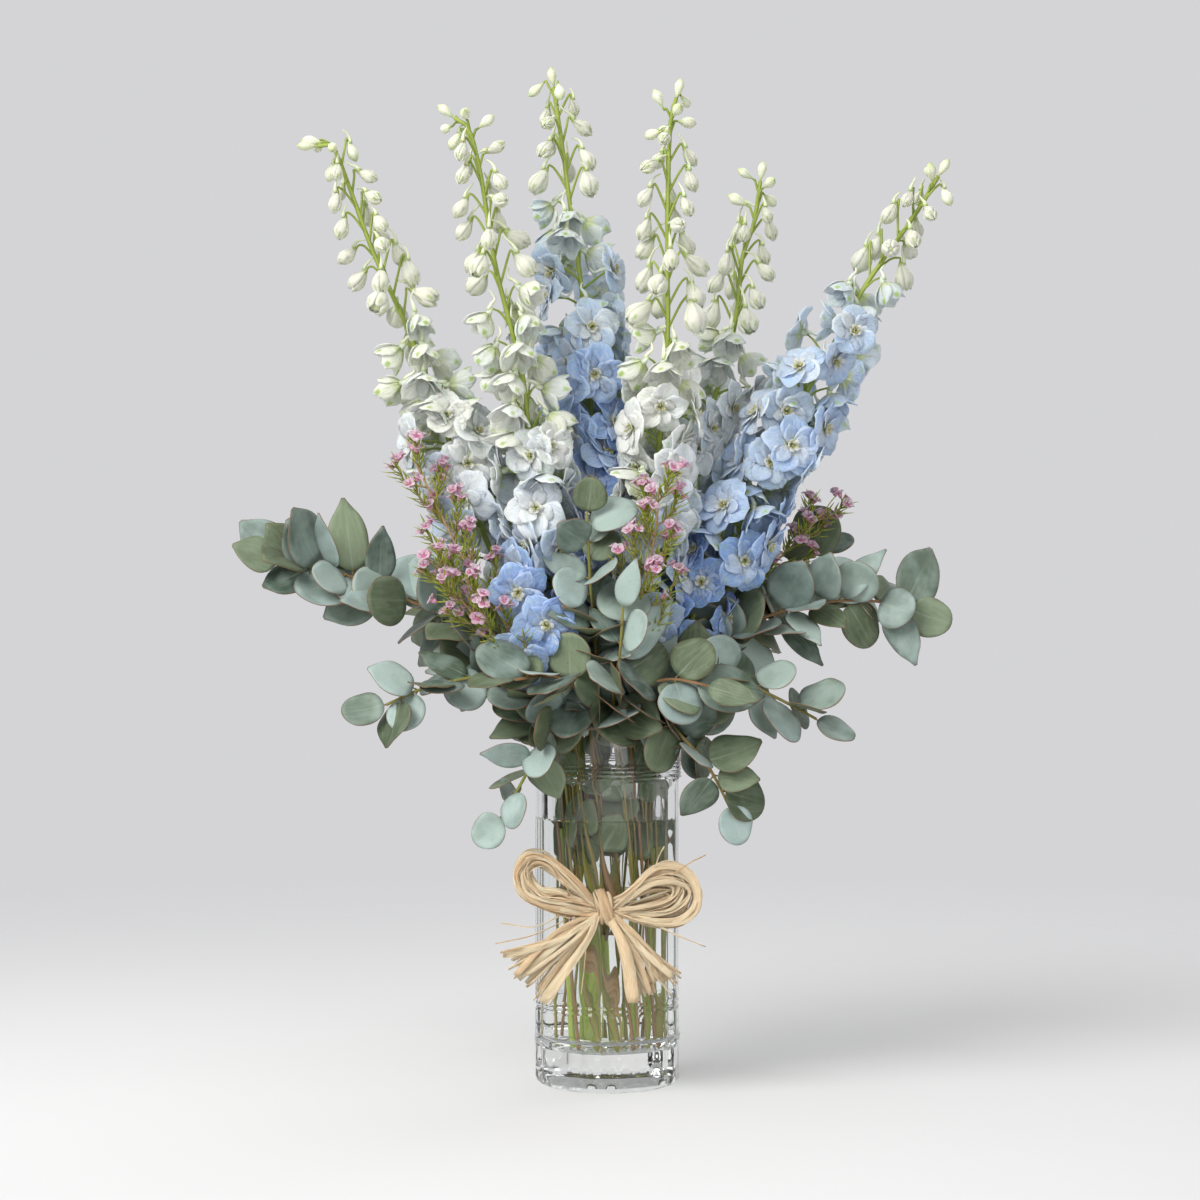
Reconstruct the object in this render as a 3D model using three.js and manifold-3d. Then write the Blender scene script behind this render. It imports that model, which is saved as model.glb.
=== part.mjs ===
// A filled flower vase: a cut-glass cylinder tied with a raffia bow, with water, six delphinium spikes,
// eucalyptus branches and waxflower sprays. Millimetres, +Z up, the vase's foot centred on the origin,
// and -Y the front, where the bow is.
import * as THREE from 'three';
import { mergeVertices } from 'three/addons/utils/BufferGeometryUtils.js';
import Module from 'manifold-3d';

const wasm = await Module();
wasm.setup();

// ---------------------------------------------------------------- driving dimensions

const VASE = { height: 250, radius: 52, bore: 46, floor: 26, segments: 36, panel: 55 };
const WATER = { level: 186, gap: 0.6 };
const TIE = { height: 129, radius: 53.2, front: 61, flat: 0.24 };
const FIT = 0.35; // clearance between touching pieces
const KNEE = 205; // stems are straight from the vase's floor to this height
const TWIST = 48; // degrees that the bundle of stems turns from the rim down to the floor
const GATHER = 0.84; // how far the bundle draws in at the floor
const ROOM = 6; // what a leaf or floret likes to keep from its neighbours
const SWINGS = [0, 16, -16, 32, -32, 48, -48, 64, -64]; // degrees that it may swing to get it

const SPIKE = { foot: 3.2, tip: 1.8, sides: 4, spans: 1 };
const FLORET = { across: 40, spacing: 13.3, pedicel: 21, depth: 9, turn: 137.5 };
const BUD = { length: 19, width: 13.5, spacing: 12, pedicel: 13 };
const SLEEVE = { wall: 2, gap: 0.5, overrun: 5 };
const LEAF = { length: 37, width: 32, thickness: 0.8, spacing: 23.6, petiole: 3.5, neck: 0.9 };
const BRANCH = { foot: 2.4, tip: 1.7, sides: 4, spans: 1 };
const TWIG = { foot: 1.9, tip: 1.4, sides: 4, spans: 1 };
const BLOOM = { across: 10.5, spacing: 11, stalk: 13 };
const NEEDLE = { length: 16, radius: 0.6, spacing: 20 };

const COLOUR = {
  glass: [0xe8eef0, 0.05],
  water: [0xe4efee, 0.05],
  raffia: [0xe0be96, 0.85],
  stalk: [0xa9c46c, 0.6],
  floret: [0xa9c0e8, 0.65],
  leaf: [0x8ba394, 0.7],
  wax: [0xc8788f, 0.6],
};

// rim: where the stem passes the vase's mouth; path: what follows above it, lowest point first;
// open: the heights between which the florets are open; turn: where round the stem the first one stands
const SPIKES = [
  { name: 'spike_1', rim: [-30, 4], open: [398, 522], turn: 20,
    path: [[-61, -3, 323], [-96, -5, 407], [-116, -5, 464], [-136, -6, 518], [-163, -10, 579],
      [-178, -12, 620], [-191, -14, 652], [-201, -15, 652]] },
  { name: 'spike_2', rim: [-20, -8], open: [342, 540], turn: 75,
    path: [[-38, -30, 351], [-49, -36, 415], [-55, -40, 462], [-59, -42, 495], [-67, -45, 527],
      [-77, -50, 567], [-86, -53, 624], [-94, -55, 656], [-104, -55, 664]] },
  { name: 'spike_3', rim: [-6, 8], open: [398, 612], turn: 130,
    path: [[-6, 12, 330], [-7, 12, 407], [-12, 15, 478], [-18, 18, 553], [-22, 20, 583],
      [-31, 22, 651], [-38, 22, 700]] },
  { name: 'spike_4', rim: [14, -6], open: [338, 515], turn: 200,
    path: [[24, -16, 325], [31, -25, 392], [37, -32, 461], [41, -36, 515], [41, -38, 555],
      [41, -40, 607], [43, -40, 664], [47, -40, 680]] },
  { name: 'spike_5', rim: [20, 16], open: [334, 520], turn: 250,
    path: [[31, 21, 320], [44, 28, 380], [66, 38, 451], [81, 42, 495], [92, 45, 538],
      [97, 48, 583], [105, 50, 606], [110, 50, 638]] },
  { name: 'spike_6', rim: [34, -4], open: [364, 556], turn: 310,
    path: [[65, 0, 337], [99, 0, 400], [119, 2, 447], [154, 4, 508], [177, 5, 551], [190, 5, 571],
      [215, 5, 606], [232, 5, 634]] },
];

// face: the way that the blades turn their upper side; leafy: how far along the stem the leaves begin
const BRANCHES = [
  { name: 'left', rim: [-38, -8], face: [0.1, -0.9, 0.5], leafy: 0.4, size: 1.08,
    path: [[-62, -10, 285], [-98, -12, 318], [-137, -13, 336], [-172, -15, 351], [-208, -19, 362],
      [-226, -20, 364]] },
  { name: 'left_low', rim: [-34, -20], face: [-0.1, -0.7, 0.6], leafy: 0.34, size: 0.95,
    path: [[-52, -36, 268], [-82, -47, 284], [-122, -56, 278], [-150, -60, 266]] },
  { name: 'droop_left', rim: [-24, -30], face: [-0.4, -0.8, 0.3], leafy: 0.4, size: 0.85,
    path: [[-31, -49, 262], [-42, -62, 244], [-58, -66, 214], [-72, -60, 190]] },
  { name: 'low_front_left', rim: [-12, -36], face: [-0.2, -0.7, 0.7], leafy: 0.32, size: 1.05,
    path: [[-20, -58, 276], [-38, -80, 286], [-62, -92, 284]] },
  { name: 'front', rim: [4, -38], face: [0.1, -0.9, 0.4], leafy: 0.46, size: 1.0,
    path: [[4, -58, 272], [8, -78, 300], [10, -84, 332]] },
  { name: 'sprig', rim: [-6, -20], face: [0, -0.8, 0.5], leafy: 0.54, size: 0.85,
    path: [[-8, -42, 300], [-12, -62, 352], [-14, -70, 396]] },
  { name: 'low_front_right', rim: [15, -35], face: [0.3, -0.7, 0.6], leafy: 0.32, size: 1.05,
    path: [[24, -56, 276], [42, -78, 284], [66, -88, 280]] },
  { name: 'droop_right', rim: [26, -28], face: [0.4, -0.8, 0.3], leafy: 0.4, size: 0.9,
    path: [[35, -46, 262], [48, -58, 247], [67, -64, 226], [82, -60, 198]] },
  { name: 'right_low', rim: [34, -16], face: [0.3, -0.7, 0.6], leafy: 0.36, size: 1.0,
    path: [[52, -30, 272], [82, -44, 284], [116, -50, 270], [142, -50, 256]] },
  { name: 'right', rim: [38, 8], face: [0, -0.9, 0.5], leafy: 0.36, size: 1.05,
    path: [[68, 6, 296], [104, 8, 322], [150, 9, 335], [190, 10, 336], [212, 10, 331]] },
  { name: 'upper_right', rim: [32, 18], face: [0.3, -0.5, 0.7], leafy: 0.46, size: 1.0,
    path: [[73, 40, 318], [116, 54, 356], [152, 60, 374]] },
  { name: 'back_right', rim: [14, 34], face: [0.4, 0.6, 0.6], leafy: 0.38, size: 1.0,
    path: [[42, 66, 282], [76, 98, 302], [104, 124, 300]] },
  { name: 'back', rim: [2, 38], face: [-0.1, 0.8, 0.5], leafy: 0.38, size: 1.05,
    path: [[0, 66, 288], [-8, 104, 322], [-12, 138, 336]] },
  { name: 'back_left', rim: [-26, 26], face: [-0.5, 0.6, 0.6], leafy: 0.38, size: 1.05,
    path: [[-52, 54, 284], [-88, 84, 312], [-122, 104, 324]] },
];

// bare: how far along the twig the needles begin; bloom: how far along it the blooms do
const SPRAYS = [
  { name: 'left', rim: [-14, -22], bare: 0.35, bloom: 0.56,
    path: [[-48, -36, 296], [-78, -42, 330], [-100, -44, 368], [-118, -44, 404], [-132, -42, 432]] },
  { name: 'left_low', rim: [-26, -18], bare: 0.4, bloom: 0.6,
    path: [[-58, -46, 294], [-86, -62, 322], [-104, -68, 344], [-116, -70, 362]] },
  { name: 'centre', rim: [8, -20], bare: 0.4, bloom: 0.6,
    path: [[16, -52, 312], [24, -72, 346], [32, -80, 384], [34, -82, 412]] },
  { name: 'right', rim: [30, 6], bare: 0.45, bloom: 0.72,
    path: [[62, 22, 306], [98, 28, 344], [134, 30, 378], [156, 32, 402]] },
];

// ---------------------------------------------------------------- small helpers

const vec = (list) => new THREE.Vector3(...list);
const rad = THREE.MathUtils.degToRad;
const mix = THREE.MathUtils.lerp;
const UP = vec([0, 0, 1]);

/** A number between -1 and 1 that depends only on the whole numbers given. */
function toss(...keys) {
  let hash = 0x811c9dc5;
  for (const key of keys) {
    hash = Math.imul(hash ^ (key + 1), 0x01000193);
    hash = Math.imul(hash ^ (hash >>> 15), 0x2c1b3c6d);
    hash ^= hash >>> 12;
  }
  return ((hash >>> 0) / 2 ** 31) - 1;
}

/** A point given in a frame of three directions. */
const along = (origin, u, v, w, x, y, z) =>
  origin.clone().addScaledVector(u, x).addScaledVector(v, y).addScaledVector(w, z);

/** The part of a direction that is square to an axis, at unit length. */
const square = (direction, axis) =>
  direction.clone().addScaledVector(axis, -direction.dot(axis)).normalize();

/** A closed three.js geometry as a solid. */
function solid(geometry) {
  geometry.deleteAttribute('normal');
  geometry.deleteAttribute('uv');
  const merged = mergeVertices(geometry, 1e-4);
  const mesh = new wasm.Mesh({
    numProp: 3,
    vertProperties: new Float32Array(merged.attributes.position.array),
    triVerts: new Uint32Array(merged.index.array),
  });
  return new wasm.Manifold(mesh);
}

/** The largest single body of a solid; a loose scrap or an enclosed void is left out. */
function oneBody(shape) {
  const bodies = shape.decompose();
  return bodies.reduce((best, body) => (body.volume() > best.volume() ? body : best));
}

/** All the solids joined in one. */
const joined = (solids) => solids.reduce((sum, shape) => sum.add(shape));

/** A solid as a three.js mesh. */
function meshOf(name, shape, [colour, roughness]) {
  const { vertProperties, triVerts } = oneBody(shape).getMesh();
  const geometry = new THREE.BufferGeometry();
  geometry.setAttribute('position', new THREE.BufferAttribute(vertProperties, 3));
  geometry.setIndex(new THREE.BufferAttribute(triVerts, 1));
  geometry.computeVertexNormals();
  const material = new THREE.MeshStandardMaterial({ color: colour, roughness, metalness: 0 });
  const mesh = new THREE.Mesh(geometry, material);
  mesh.name = name;
  return mesh;
}

/** Faces between two rings of points, which may differ in number; one point makes a tip. */
function stitch(faces, a, na, b, nb) {
  let i = 0;
  let j = 0;
  const stepsA = na === 1 ? 0 : na;
  const stepsB = nb === 1 ? 0 : nb;
  while (i < stepsA || j < stepsB) {
    if (j === stepsB || (i < stepsA && (i + 1) / na <= (j + 1) / nb)) {
      faces.push(a + (i % na), a + ((i + 1) % na), b + (j % nb));
      i += 1;
    } else {
      faces.push(a + (i % na), b + ((j + 1) % nb), b + (j % nb));
      j += 1;
    }
  }
}

/** A closed skin over rings of points, each turning left round the way that the rings go. */
function skin(rings) {
  const faces = [];
  const starts = [];
  let count = 0;
  for (const ring of rings) {
    starts.push(count);
    count += ring.length;
  }
  for (let k = 1; k < rings.length; k += 1) {
    stitch(faces, starts[k - 1], rings[k - 1].length, starts[k], rings[k].length);
  }
  for (let i = 2; i < rings[0].length; i += 1) faces.push(0, i, i - 1);
  const geometry = new THREE.BufferGeometry().setFromPoints(rings.flat());
  geometry.setIndex(faces);
  return solid(geometry);
}

/** A fixed direction that is well across the run of a line of points. */
function acrossOf(points) {
  const run = points[points.length - 1].clone().sub(points[0]);
  return Math.abs(run.y) > 0.8 * run.length() ? vec([1, 0, 0]) : vec([0, 1, 0]);
}

/** A tapering tube through points, from a cylinder whose rings are laid on them. */
function tube(points, radii, sides, flat = 1, reference = acrossOf(points)) {
  const spans = points.length - 1;
  const geometry = new THREE.CylinderGeometry(1, 1, 1, sides, spans);
  const rings = points.map((point, k) => {
    const ahead = points[Math.min(k + 1, spans)].clone().sub(points[Math.max(k - 1, 0)]).normalize();
    const u = square(reference, ahead);
    return { point, u, w: ahead.clone().cross(u), radius: radii[k] };
  });
  const position = geometry.attributes.position;
  for (let i = 0; i < position.count; i += 1) {
    const { point, u, w, radius } = rings[Math.round((0.5 - position.getY(i)) * spans)];
    const moved = along(point, u, w, w, position.getX(i) * radius * flat, position.getZ(i) * radius, 0);
    position.setXYZ(i, moved.x, moved.y, moved.z);
  }
  return solid(geometry);
}

// ---------------------------------------------------------------- stems

/** A stem's centre line: straight in the vase, then a smooth curve through its path. */
class Stem {
  constructor({ rim, path }, { foot, tip, sides, spans }) {
    const turned = new THREE.Vector2(...rim).rotateAround(new THREE.Vector2(), rad(TWIST));
    const top = vec([...rim, VASE.height]);
    const base = vec([turned.x * GATHER, turned.y * GATHER, VASE.floor + 1.2]);
    const knee = base.clone().lerp(top, (KNEE - base.z) / (top.z - base.z));
    const curve = new THREE.CatmullRomCurve3([knee, top, ...path.map(vec)], false, 'catmullrom', 0.5);
    this.line = [base, ...curve.getPoints(spans * (path.length + 1))];
    this.reach = [0];
    for (let k = 1; k < this.line.length; k += 1) {
      this.reach.push(this.reach[k - 1] + this.line[k].distanceTo(this.line[k - 1]));
    }
    this.length = this.reach[this.line.length - 1];
    this.kneeAt = this.reach[1];
    Object.assign(this, { foot, tip, sides });
  }

  /** The point, direction and radius at a distance along the stem. */
  at(distance) {
    const s = Math.min(Math.max(distance, 0), this.length);
    let k = 1;
    while (k < this.line.length - 1 && this.reach[k] < s) k += 1;
    const share = (s - this.reach[k - 1]) / (this.reach[k] - this.reach[k - 1]);
    const point = this.line[k - 1].clone().lerp(this.line[k], share);
    const ahead = this.line[k].clone().sub(this.line[k - 1]).normalize();
    return { point, ahead, radius: mix(this.foot, this.tip, s / this.length) };
  }

  /** How far the flank of its tube lies from the centre line in a direction, when it is thicker by grow. */
  flank(distance, outward, grow) {
    const { ahead, radius } = this.at(distance);
    const u = square(acrossOf(this.line), ahead);
    const angle = Math.atan2(outward.dot(ahead.clone().cross(u)), outward.dot(u));
    const corner = (2 * Math.PI) / this.sides;
    const offset = THREE.MathUtils.euclideanModulo(angle, corner) - corner / 2;
    return ((radius + grow) * Math.cos(corner / 2)) / Math.cos(offset);
  }

  /** The distance along the stem at which it first reaches a height. */
  atHeight(z) {
    let k = 1;
    while (k < this.line.length - 1 && this.line[k].z < z) k += 1;
    const share = (z - this.line[k - 1].z) / (this.line[k].z - this.line[k - 1].z);
    return mix(this.reach[k - 1], this.reach[k], Math.min(share, 1));
  }

  /** A tube on the stem between two distances, thicker by grow. */
  tube(from, to, grow = 0) {
    const marks = [from, ...this.reach.filter((mark) => mark > from + 1 && mark < to - 1), to];
    const stations = marks.map((mark) => this.at(mark));
    return tube(
      stations.map(({ point }) => point),
      stations.map(({ radius }) => radius + grow),
      this.sides,
      1,
      acrossOf(this.line),
    );
  }
}

// ---------------------------------------------------------------- room between neighbours

const taken = []; // points already filled, with the name of what fills them

const take = (owner, points) => points.forEach((point) => taken.push({ owner, point }));

/** Marks on the upper part of the vase's wall. */
function vaseMarks() {
  const marks = [];
  for (let turn = 0; turn < 360; turn += 12) {
    for (const z of [160, 175, 190, 205, 220, 235, VASE.height]) {
      marks.push(vec([Math.cos(rad(turn)) * VASE.radius, Math.sin(rad(turn)) * VASE.radius, z]));
    }
  }
  return marks;
}

/** The smallest distance from the points to what another piece fills. */
function room(owner, points) {
  let nearest = Infinity;
  for (const other of taken) {
    if (other.owner === owner) continue;
    for (const point of points) nearest = Math.min(nearest, point.distanceTo(other.point));
  }
  return nearest;
}

/** The first swing that leaves enough room, or the one that leaves the most. */
function settle(owner, pose) {
  let best = null;
  for (const swing of SWINGS) {
    const tried = pose(swing);
    const free = room(owner, tried.marks);
    if (!best || free > best.free) best = { free, tried };
    if (free >= ROOM) break;
  }
  take(owner, best.tried.marks);
  return best.tried;
}

/** Marks along a bare stem, from the knee up. */
function stemMarks(stem) {
  const marks = [];
  for (let s = stem.kneeAt; s < stem.length; s += 6) marks.push(stem.at(s).point);
  return marks;
}

// ---------------------------------------------------------------- delphinium

/** Five broad lobes round a throat with a small raised centre, on a pedicel from the stem. */
function floretSolid({ root, centre, facing, side, over, width, open, key }) {
  const ring = (list) => list.map(([x, y, z]) => along(centre, side, over, facing, x, y, z));
  const polar = (angle, radius, z) => [Math.cos(rad(angle)) * radius, Math.sin(rad(angle)) * radius, z];
  const outline = [];
  const lift = mix(11, 2.2, open);
  for (let lobe = 0; lobe < 5; lobe += 1) {
    const reach = (width / 2) * mix(0.66, 1, open) * (1 + 0.07 * toss(key, lobe, 1));
    const wave = 1.6 * toss(key, lobe, 2);
    outline.push(polar(72 * lobe + 6 * toss(key, lobe, 33), reach * 1.04, lift + wave));
    outline.push(polar(72 * lobe + 36, reach * 0.72, lift * 0.6));
  }
  const waist = ring([0, 120, 240].map((angle) => polar(angle, 1.5, -FLORET.depth)));
  const back = along(centre, side, over, facing, 0, 0, -FLORET.depth);
  const start = waist.map((point) => point.clone().sub(back).multiplyScalar(0.75).add(root));
  return skin([start, waist, ring(outline), ring([[0, 0, -1]])]);
}

/** Where a floret stands when it grows out of the stem at an angle. */
function floretPose(stem, distance, angle, open, width, key) {
  const { point, ahead, radius } = stem.at(distance);
  const outward = square(vec([Math.cos(rad(angle)), Math.sin(rad(angle)), 0]), ahead);
  const flank = stem.flank(distance, outward, SLEEVE.gap + SLEEVE.wall / 2);
  const root = point.clone().addScaledVector(outward, flank);
  const facing = outward.clone().addScaledVector(UP, 0.12 + 0.22 * toss(key, 4)).normalize();
  const reach = FLORET.pedicel * mix(0.7, 1, open) * (1 + 0.18 * toss(key, 5));
  const centre = point.clone().addScaledVector(outward, radius + reach).addScaledVector(ahead, 7);
  const side = square(UP, facing).applyAxisAngle(facing, rad(36 * toss(key, 6)));
  const over = facing.clone().cross(side);
  const marks = [centre];
  for (let k = 0; k < 5; k += 1) {
    const [x, y] = [Math.cos(rad(72 * k)), Math.sin(rad(72 * k))].map((c) => c * width * 0.4);
    marks.push(along(centre, side, over, facing, x, y, 2));
  }
  return { root, centre, facing, side, over, width, open, key, marks };
}

/** A closed bud on its pedicel. */
function budSolid({ root, neck, axis, side, over, length, width }) {
  const ring = (count, radius, z) => Array.from({ length: count }, (_, k) => {
    const angle = (2 * Math.PI * k) / count;
    return along(neck, side, over, axis, Math.cos(angle) * radius, Math.sin(angle) * radius, z);
  });
  const waist = ring(3, 0.8, 0);
  const start = waist.map((point) => point.clone().sub(neck).multiplyScalar(0.85).add(root));
  return skin([start, waist, ring(4, width * 0.5, length * 0.32), ring(4, width * 0.46, length * 0.7),
    ring(1, 0, length)]);
}

/** Where a bud stands; share is 0 at the lowest bud and 1 at the tip. */
function budPose(stem, distance, angle, share, key) {
  const { point, ahead } = stem.at(distance);
  const outward = square(vec([Math.cos(rad(angle)), Math.sin(rad(angle)), 0]), ahead);
  const size = mix(1, 0.6, share) * (1 + 0.08 * toss(key, 7));
  const lift = mix(-0.25, 0.7, share) + 0.25 * toss(key, 8);
  const axis = outward.clone().addScaledVector(UP, lift).normalize();
  const side = square(ahead, axis);
  const reach = BUD.pedicel * mix(1, 0.5, share);
  const neck = point.clone().addScaledVector(outward, reach * 0.8).addScaledVector(ahead, reach);
  const length = BUD.length * size;
  const marks = [along(neck, axis, axis, axis, length * 0.5, 0, 0)];
  return { root: point, neck, axis, side, over: axis.clone().cross(side), length,
    width: BUD.width * size, marks };
}

/** The stem with its buds, and the florets on their sleeve round it. */
function planSpike(spec, number) {
  const stem = new Stem(spec, SPIKE);
  const stalk = { name: `${spec.name}_stem`, colour: COLOUR.stalk, stem, core: stem.tube(0, stem.length),
    parts: [] };
  const [from, to] = spec.open.map((z) => stem.atHeight(z));
  const florets = { name: `${spec.name}_florets`, colour: COLOUR.floret, mate: stalk,
    core: stem.tube(from - SLEEVE.overrun, to + SLEEVE.overrun, SLEEVE.gap + SLEEVE.wall),
    bore: stem.tube(from - 2 * SLEEVE.overrun, to + 2 * SLEEVE.overrun, SLEEVE.gap), parts: [] };
  take(spec.name, stemMarks(stem));
  const grow = () => {
    const count = Math.round((to - from) / FLORET.spacing);
    for (let k = 0; k <= count; k += 1) {
      const share = k / count;
      const key = 100 * number + k;
      const open = share < 0.72 ? 1 : mix(1, 0.25, (share - 0.72) / 0.28);
      const width = FLORET.across * mix(1.04, 0.8, share) * (1 + 0.05 * toss(key, 3));
      const angle = spec.turn + FLORET.turn * k + 10 * toss(key, 9);
      const pose = settle(spec.name, (swing) =>
        floretPose(stem, mix(from, to, share), angle + swing, open, width, key));
      florets.parts.push(floretSolid(pose));
    }
    const run = stem.length - to;
    const buds = Math.round(run / BUD.spacing);
    for (let k = 1; k < buds; k += 1) {
      const share = k / buds;
      const key = 100 * number + 50 + k;
      const angle = spec.turn + FLORET.turn * (count + k) + 16 * toss(key, 9);
      const pose = settle(spec.name, (swing) =>
        budPose(stem, to + run * share ** 1.1, angle + swing, share, key));
      stalk.parts.push(budSolid(pose));
    }
    const { point, ahead } = stem.at(stem.length);
    const side = square(vec([0, 1, 0]), ahead);
    stalk.parts.push(budSolid({ root: stem.at(stem.length - 3).point, neck: point, axis: ahead, side,
      over: ahead.clone().cross(side), length: BUD.length * 0.62, width: BUD.width * 0.6 }));
  };
  return { pieces: [stalk, florets], grow };
}

// ---------------------------------------------------------------- eucalyptus

/** A round, slightly cupped blade with a short petiole, its root sunk in the stem. */
function leafSolid({ root, along: rib, across, normal, length, width, curl }) {
  const half = [[LEAF.petiole, LEAF.neck], [0.42 * length, width / 2], [0.94 * length, 0.25 * width]];
  const outline = [[0, 0], ...half.map(([x, y]) => [x, -y]), ...half.reverse()];
  const shape = new THREE.Shape(outline.map(([x, y]) => new THREE.Vector2(x, y)));
  const geometry = new THREE.ExtrudeGeometry(shape, { depth: LEAF.thickness, bevelEnabled: false });
  const position = geometry.attributes.position;
  for (let i = 0; i < position.count; i += 1) {
    const [x, y, z] = [position.getX(i), position.getY(i), position.getZ(i)];
    const bend = curl * (x / length) ** 2 * length + 0.16 * Math.abs(y);
    const moved = along(root, rib, across, normal, x, y, z - LEAF.thickness / 2 + bend);
    position.setXYZ(i, moved.x, moved.y, moved.z);
  }
  return solid(geometry);
}

/** Where a leaf stands: out of the stem at an angle, its upper side towards the face. */
function leafPose(stem, distance, spec, angle, lean, size, key) {
  const { point, ahead } = stem.at(distance);
  const face = vec(spec.face).normalize();
  const flat = square(ahead.clone().cross(face), ahead);
  const outward = flat.applyAxisAngle(ahead, rad(angle));
  const rib = outward.multiplyScalar(Math.cos(rad(lean))).addScaledVector(ahead, Math.sin(rad(lean)))
    .normalize();
  const tilt = vec([0.45 * toss(key, 11), 0.45 * toss(key, 12), 0.45 * toss(key, 13)]);
  const normal = square(face.add(tilt), rib);
  const across = normal.clone().cross(rib);
  const length = LEAF.length * size * (1 + 0.1 * toss(key, 14));
  const width = LEAF.width * size * (1 + 0.1 * toss(key, 15));
  const marks = [[0.5, 0], [1, 0], [0.5, 0.4], [0.5, -0.4]].map(([x, y]) =>
    along(point, rib, across, normal, x * length, y * width, 0));
  return { root: point, along: rib, across, normal, length, width, curl: 0.12 * toss(key, 16), marks };
}

/** A branch with its leaves in pairs. */
function planBranch(spec, number) {
  const stem = new Stem(spec, BRANCH);
  const piece = { name: `eucalyptus_${spec.name}`, colour: COLOUR.leaf, stem,
    core: stem.tube(0, stem.length), parts: [] };
  take(piece.name, stemMarks(stem));
  const from = mix(stem.kneeAt, stem.length, spec.leafy);
  const grow = () => {
    const pairs = Math.max(2, Math.round((stem.length - from) / LEAF.spacing));
    for (let k = 0; k < pairs; k += 1) {
      const share = k / pairs;
      const size = spec.size * mix(1, 0.72, share);
      for (const hand of [0, 1]) {
        const key = 5000 + 100 * number + 2 * k + hand;
        const angle = 180 * hand + (k % 2 ? 42 : -42) + 18 * toss(key, 10);
        const lean = mix(18, 42, share) + 12 * toss(key, 17);
        const pose = settle(piece.name, (swing) =>
          leafPose(stem, mix(from, stem.length, share), spec, angle + swing, lean, size, key));
        piece.parts.push(leafSolid(pose));
      }
    }
    const key = 5000 + 100 * number + 99;
    const pose = settle(piece.name, (swing) =>
      leafPose(stem, stem.length - 2, spec, swing, 80, spec.size * 0.78, key));
    piece.parts.push(leafSolid(pose));
  };
  return { pieces: [piece], grow };
}

// ---------------------------------------------------------------- waxflower

/** A small five-cornered cup on a thin stalk. */
function bloomSolid({ root, centre, facing, side, over, width }) {
  const ring = (count, radius, z) => Array.from({ length: count }, (_, k) => {
    const angle = (2 * Math.PI * k) / count;
    return along(centre, side, over, facing, Math.cos(angle) * radius, Math.sin(angle) * radius, z);
  });
  const waist = ring(3, 0.6, -3.4);
  const back = along(centre, side, over, facing, 0, 0, -3.4);
  const start = waist.map((point) => point.clone().sub(back).add(root));
  return skin([start, waist, ring(5, width / 2, 0.6), ring(1, 0, -0.8)]);
}

/** Where a bloom stands on its stalk. */
function bloomPose(stem, distance, angle, stalk, key) {
  const { point, ahead } = stem.at(distance);
  const outward = square(vec([Math.cos(rad(angle)), Math.sin(rad(angle)), 0]), ahead);
  const centre = point.clone().addScaledVector(outward, stalk * 0.72).addScaledVector(ahead, stalk * 0.8);
  const facing = outward.clone().multiplyScalar(0.7).addScaledVector(UP, 0.75).normalize();
  const side = square(ahead, facing);
  return { root: point, centre, facing, side, over: facing.clone().cross(side),
    width: BLOOM.across * (1 + 0.12 * toss(key, 18)), marks: [centre] };
}

/** A needle leaf: a slim three-sided point. */
function needleSolid(stem, distance, angle, key) {
  const { point, ahead } = stem.at(distance);
  const outward = square(vec([Math.cos(rad(angle)), Math.sin(rad(angle)), 0]), ahead);
  const axis = outward.addScaledVector(ahead, 1.3).normalize();
  const side = square(UP, axis);
  const over = axis.clone().cross(side);
  const foot = [0, 120, 240].map((turn) => along(point, side, over, axis,
    Math.cos(rad(turn)) * NEEDLE.radius, Math.sin(rad(turn)) * NEEDLE.radius, 0));
  return skin([foot, [along(point, side, over, axis, 0, 0, NEEDLE.length * (1 + 0.2 * toss(key, 19)))]]);
}

/** A twig with needles low down and blooms towards its tip. */
function planSpray(spec, number) {
  const stem = new Stem(spec, TWIG);
  const piece = { name: `waxflower_${spec.name}`, colour: COLOUR.wax, stem,
    core: stem.tube(0, stem.length), parts: [] };
  take(piece.name, stemMarks(stem));
  const grow = () => {
    const base = 8000 + 200 * number;
    const first = mix(stem.kneeAt, stem.length, spec.bloom);
    const count = Math.round((stem.length - first) / BLOOM.spacing);
    for (let k = 0; k <= count; k += 1) {
      const key = base + k;
      const stalk = BLOOM.stalk * (k % 2 ? 1 : 1.45) * (1 + 0.2 * toss(key, 20));
      const pose = settle(piece.name, (swing) =>
        bloomPose(stem, mix(first, stem.length - 1, k / count), 137.5 * k + swing, stalk, key));
      piece.parts.push(bloomSolid(pose));
    }
    const bare = mix(stem.kneeAt, stem.length, spec.bare);
    const needles = Math.round((stem.length - bare) / NEEDLE.spacing);
    for (let k = 0; k < needles; k += 1) {
      const key = base + 100 + k;
      piece.parts.push(needleSolid(stem, mix(bare, stem.length, k / needles), 137.5 * k + 60, key));
    }
  };
  return { pieces: [piece], grow };
}

// ---------------------------------------------------------------- vase, water and bow

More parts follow.
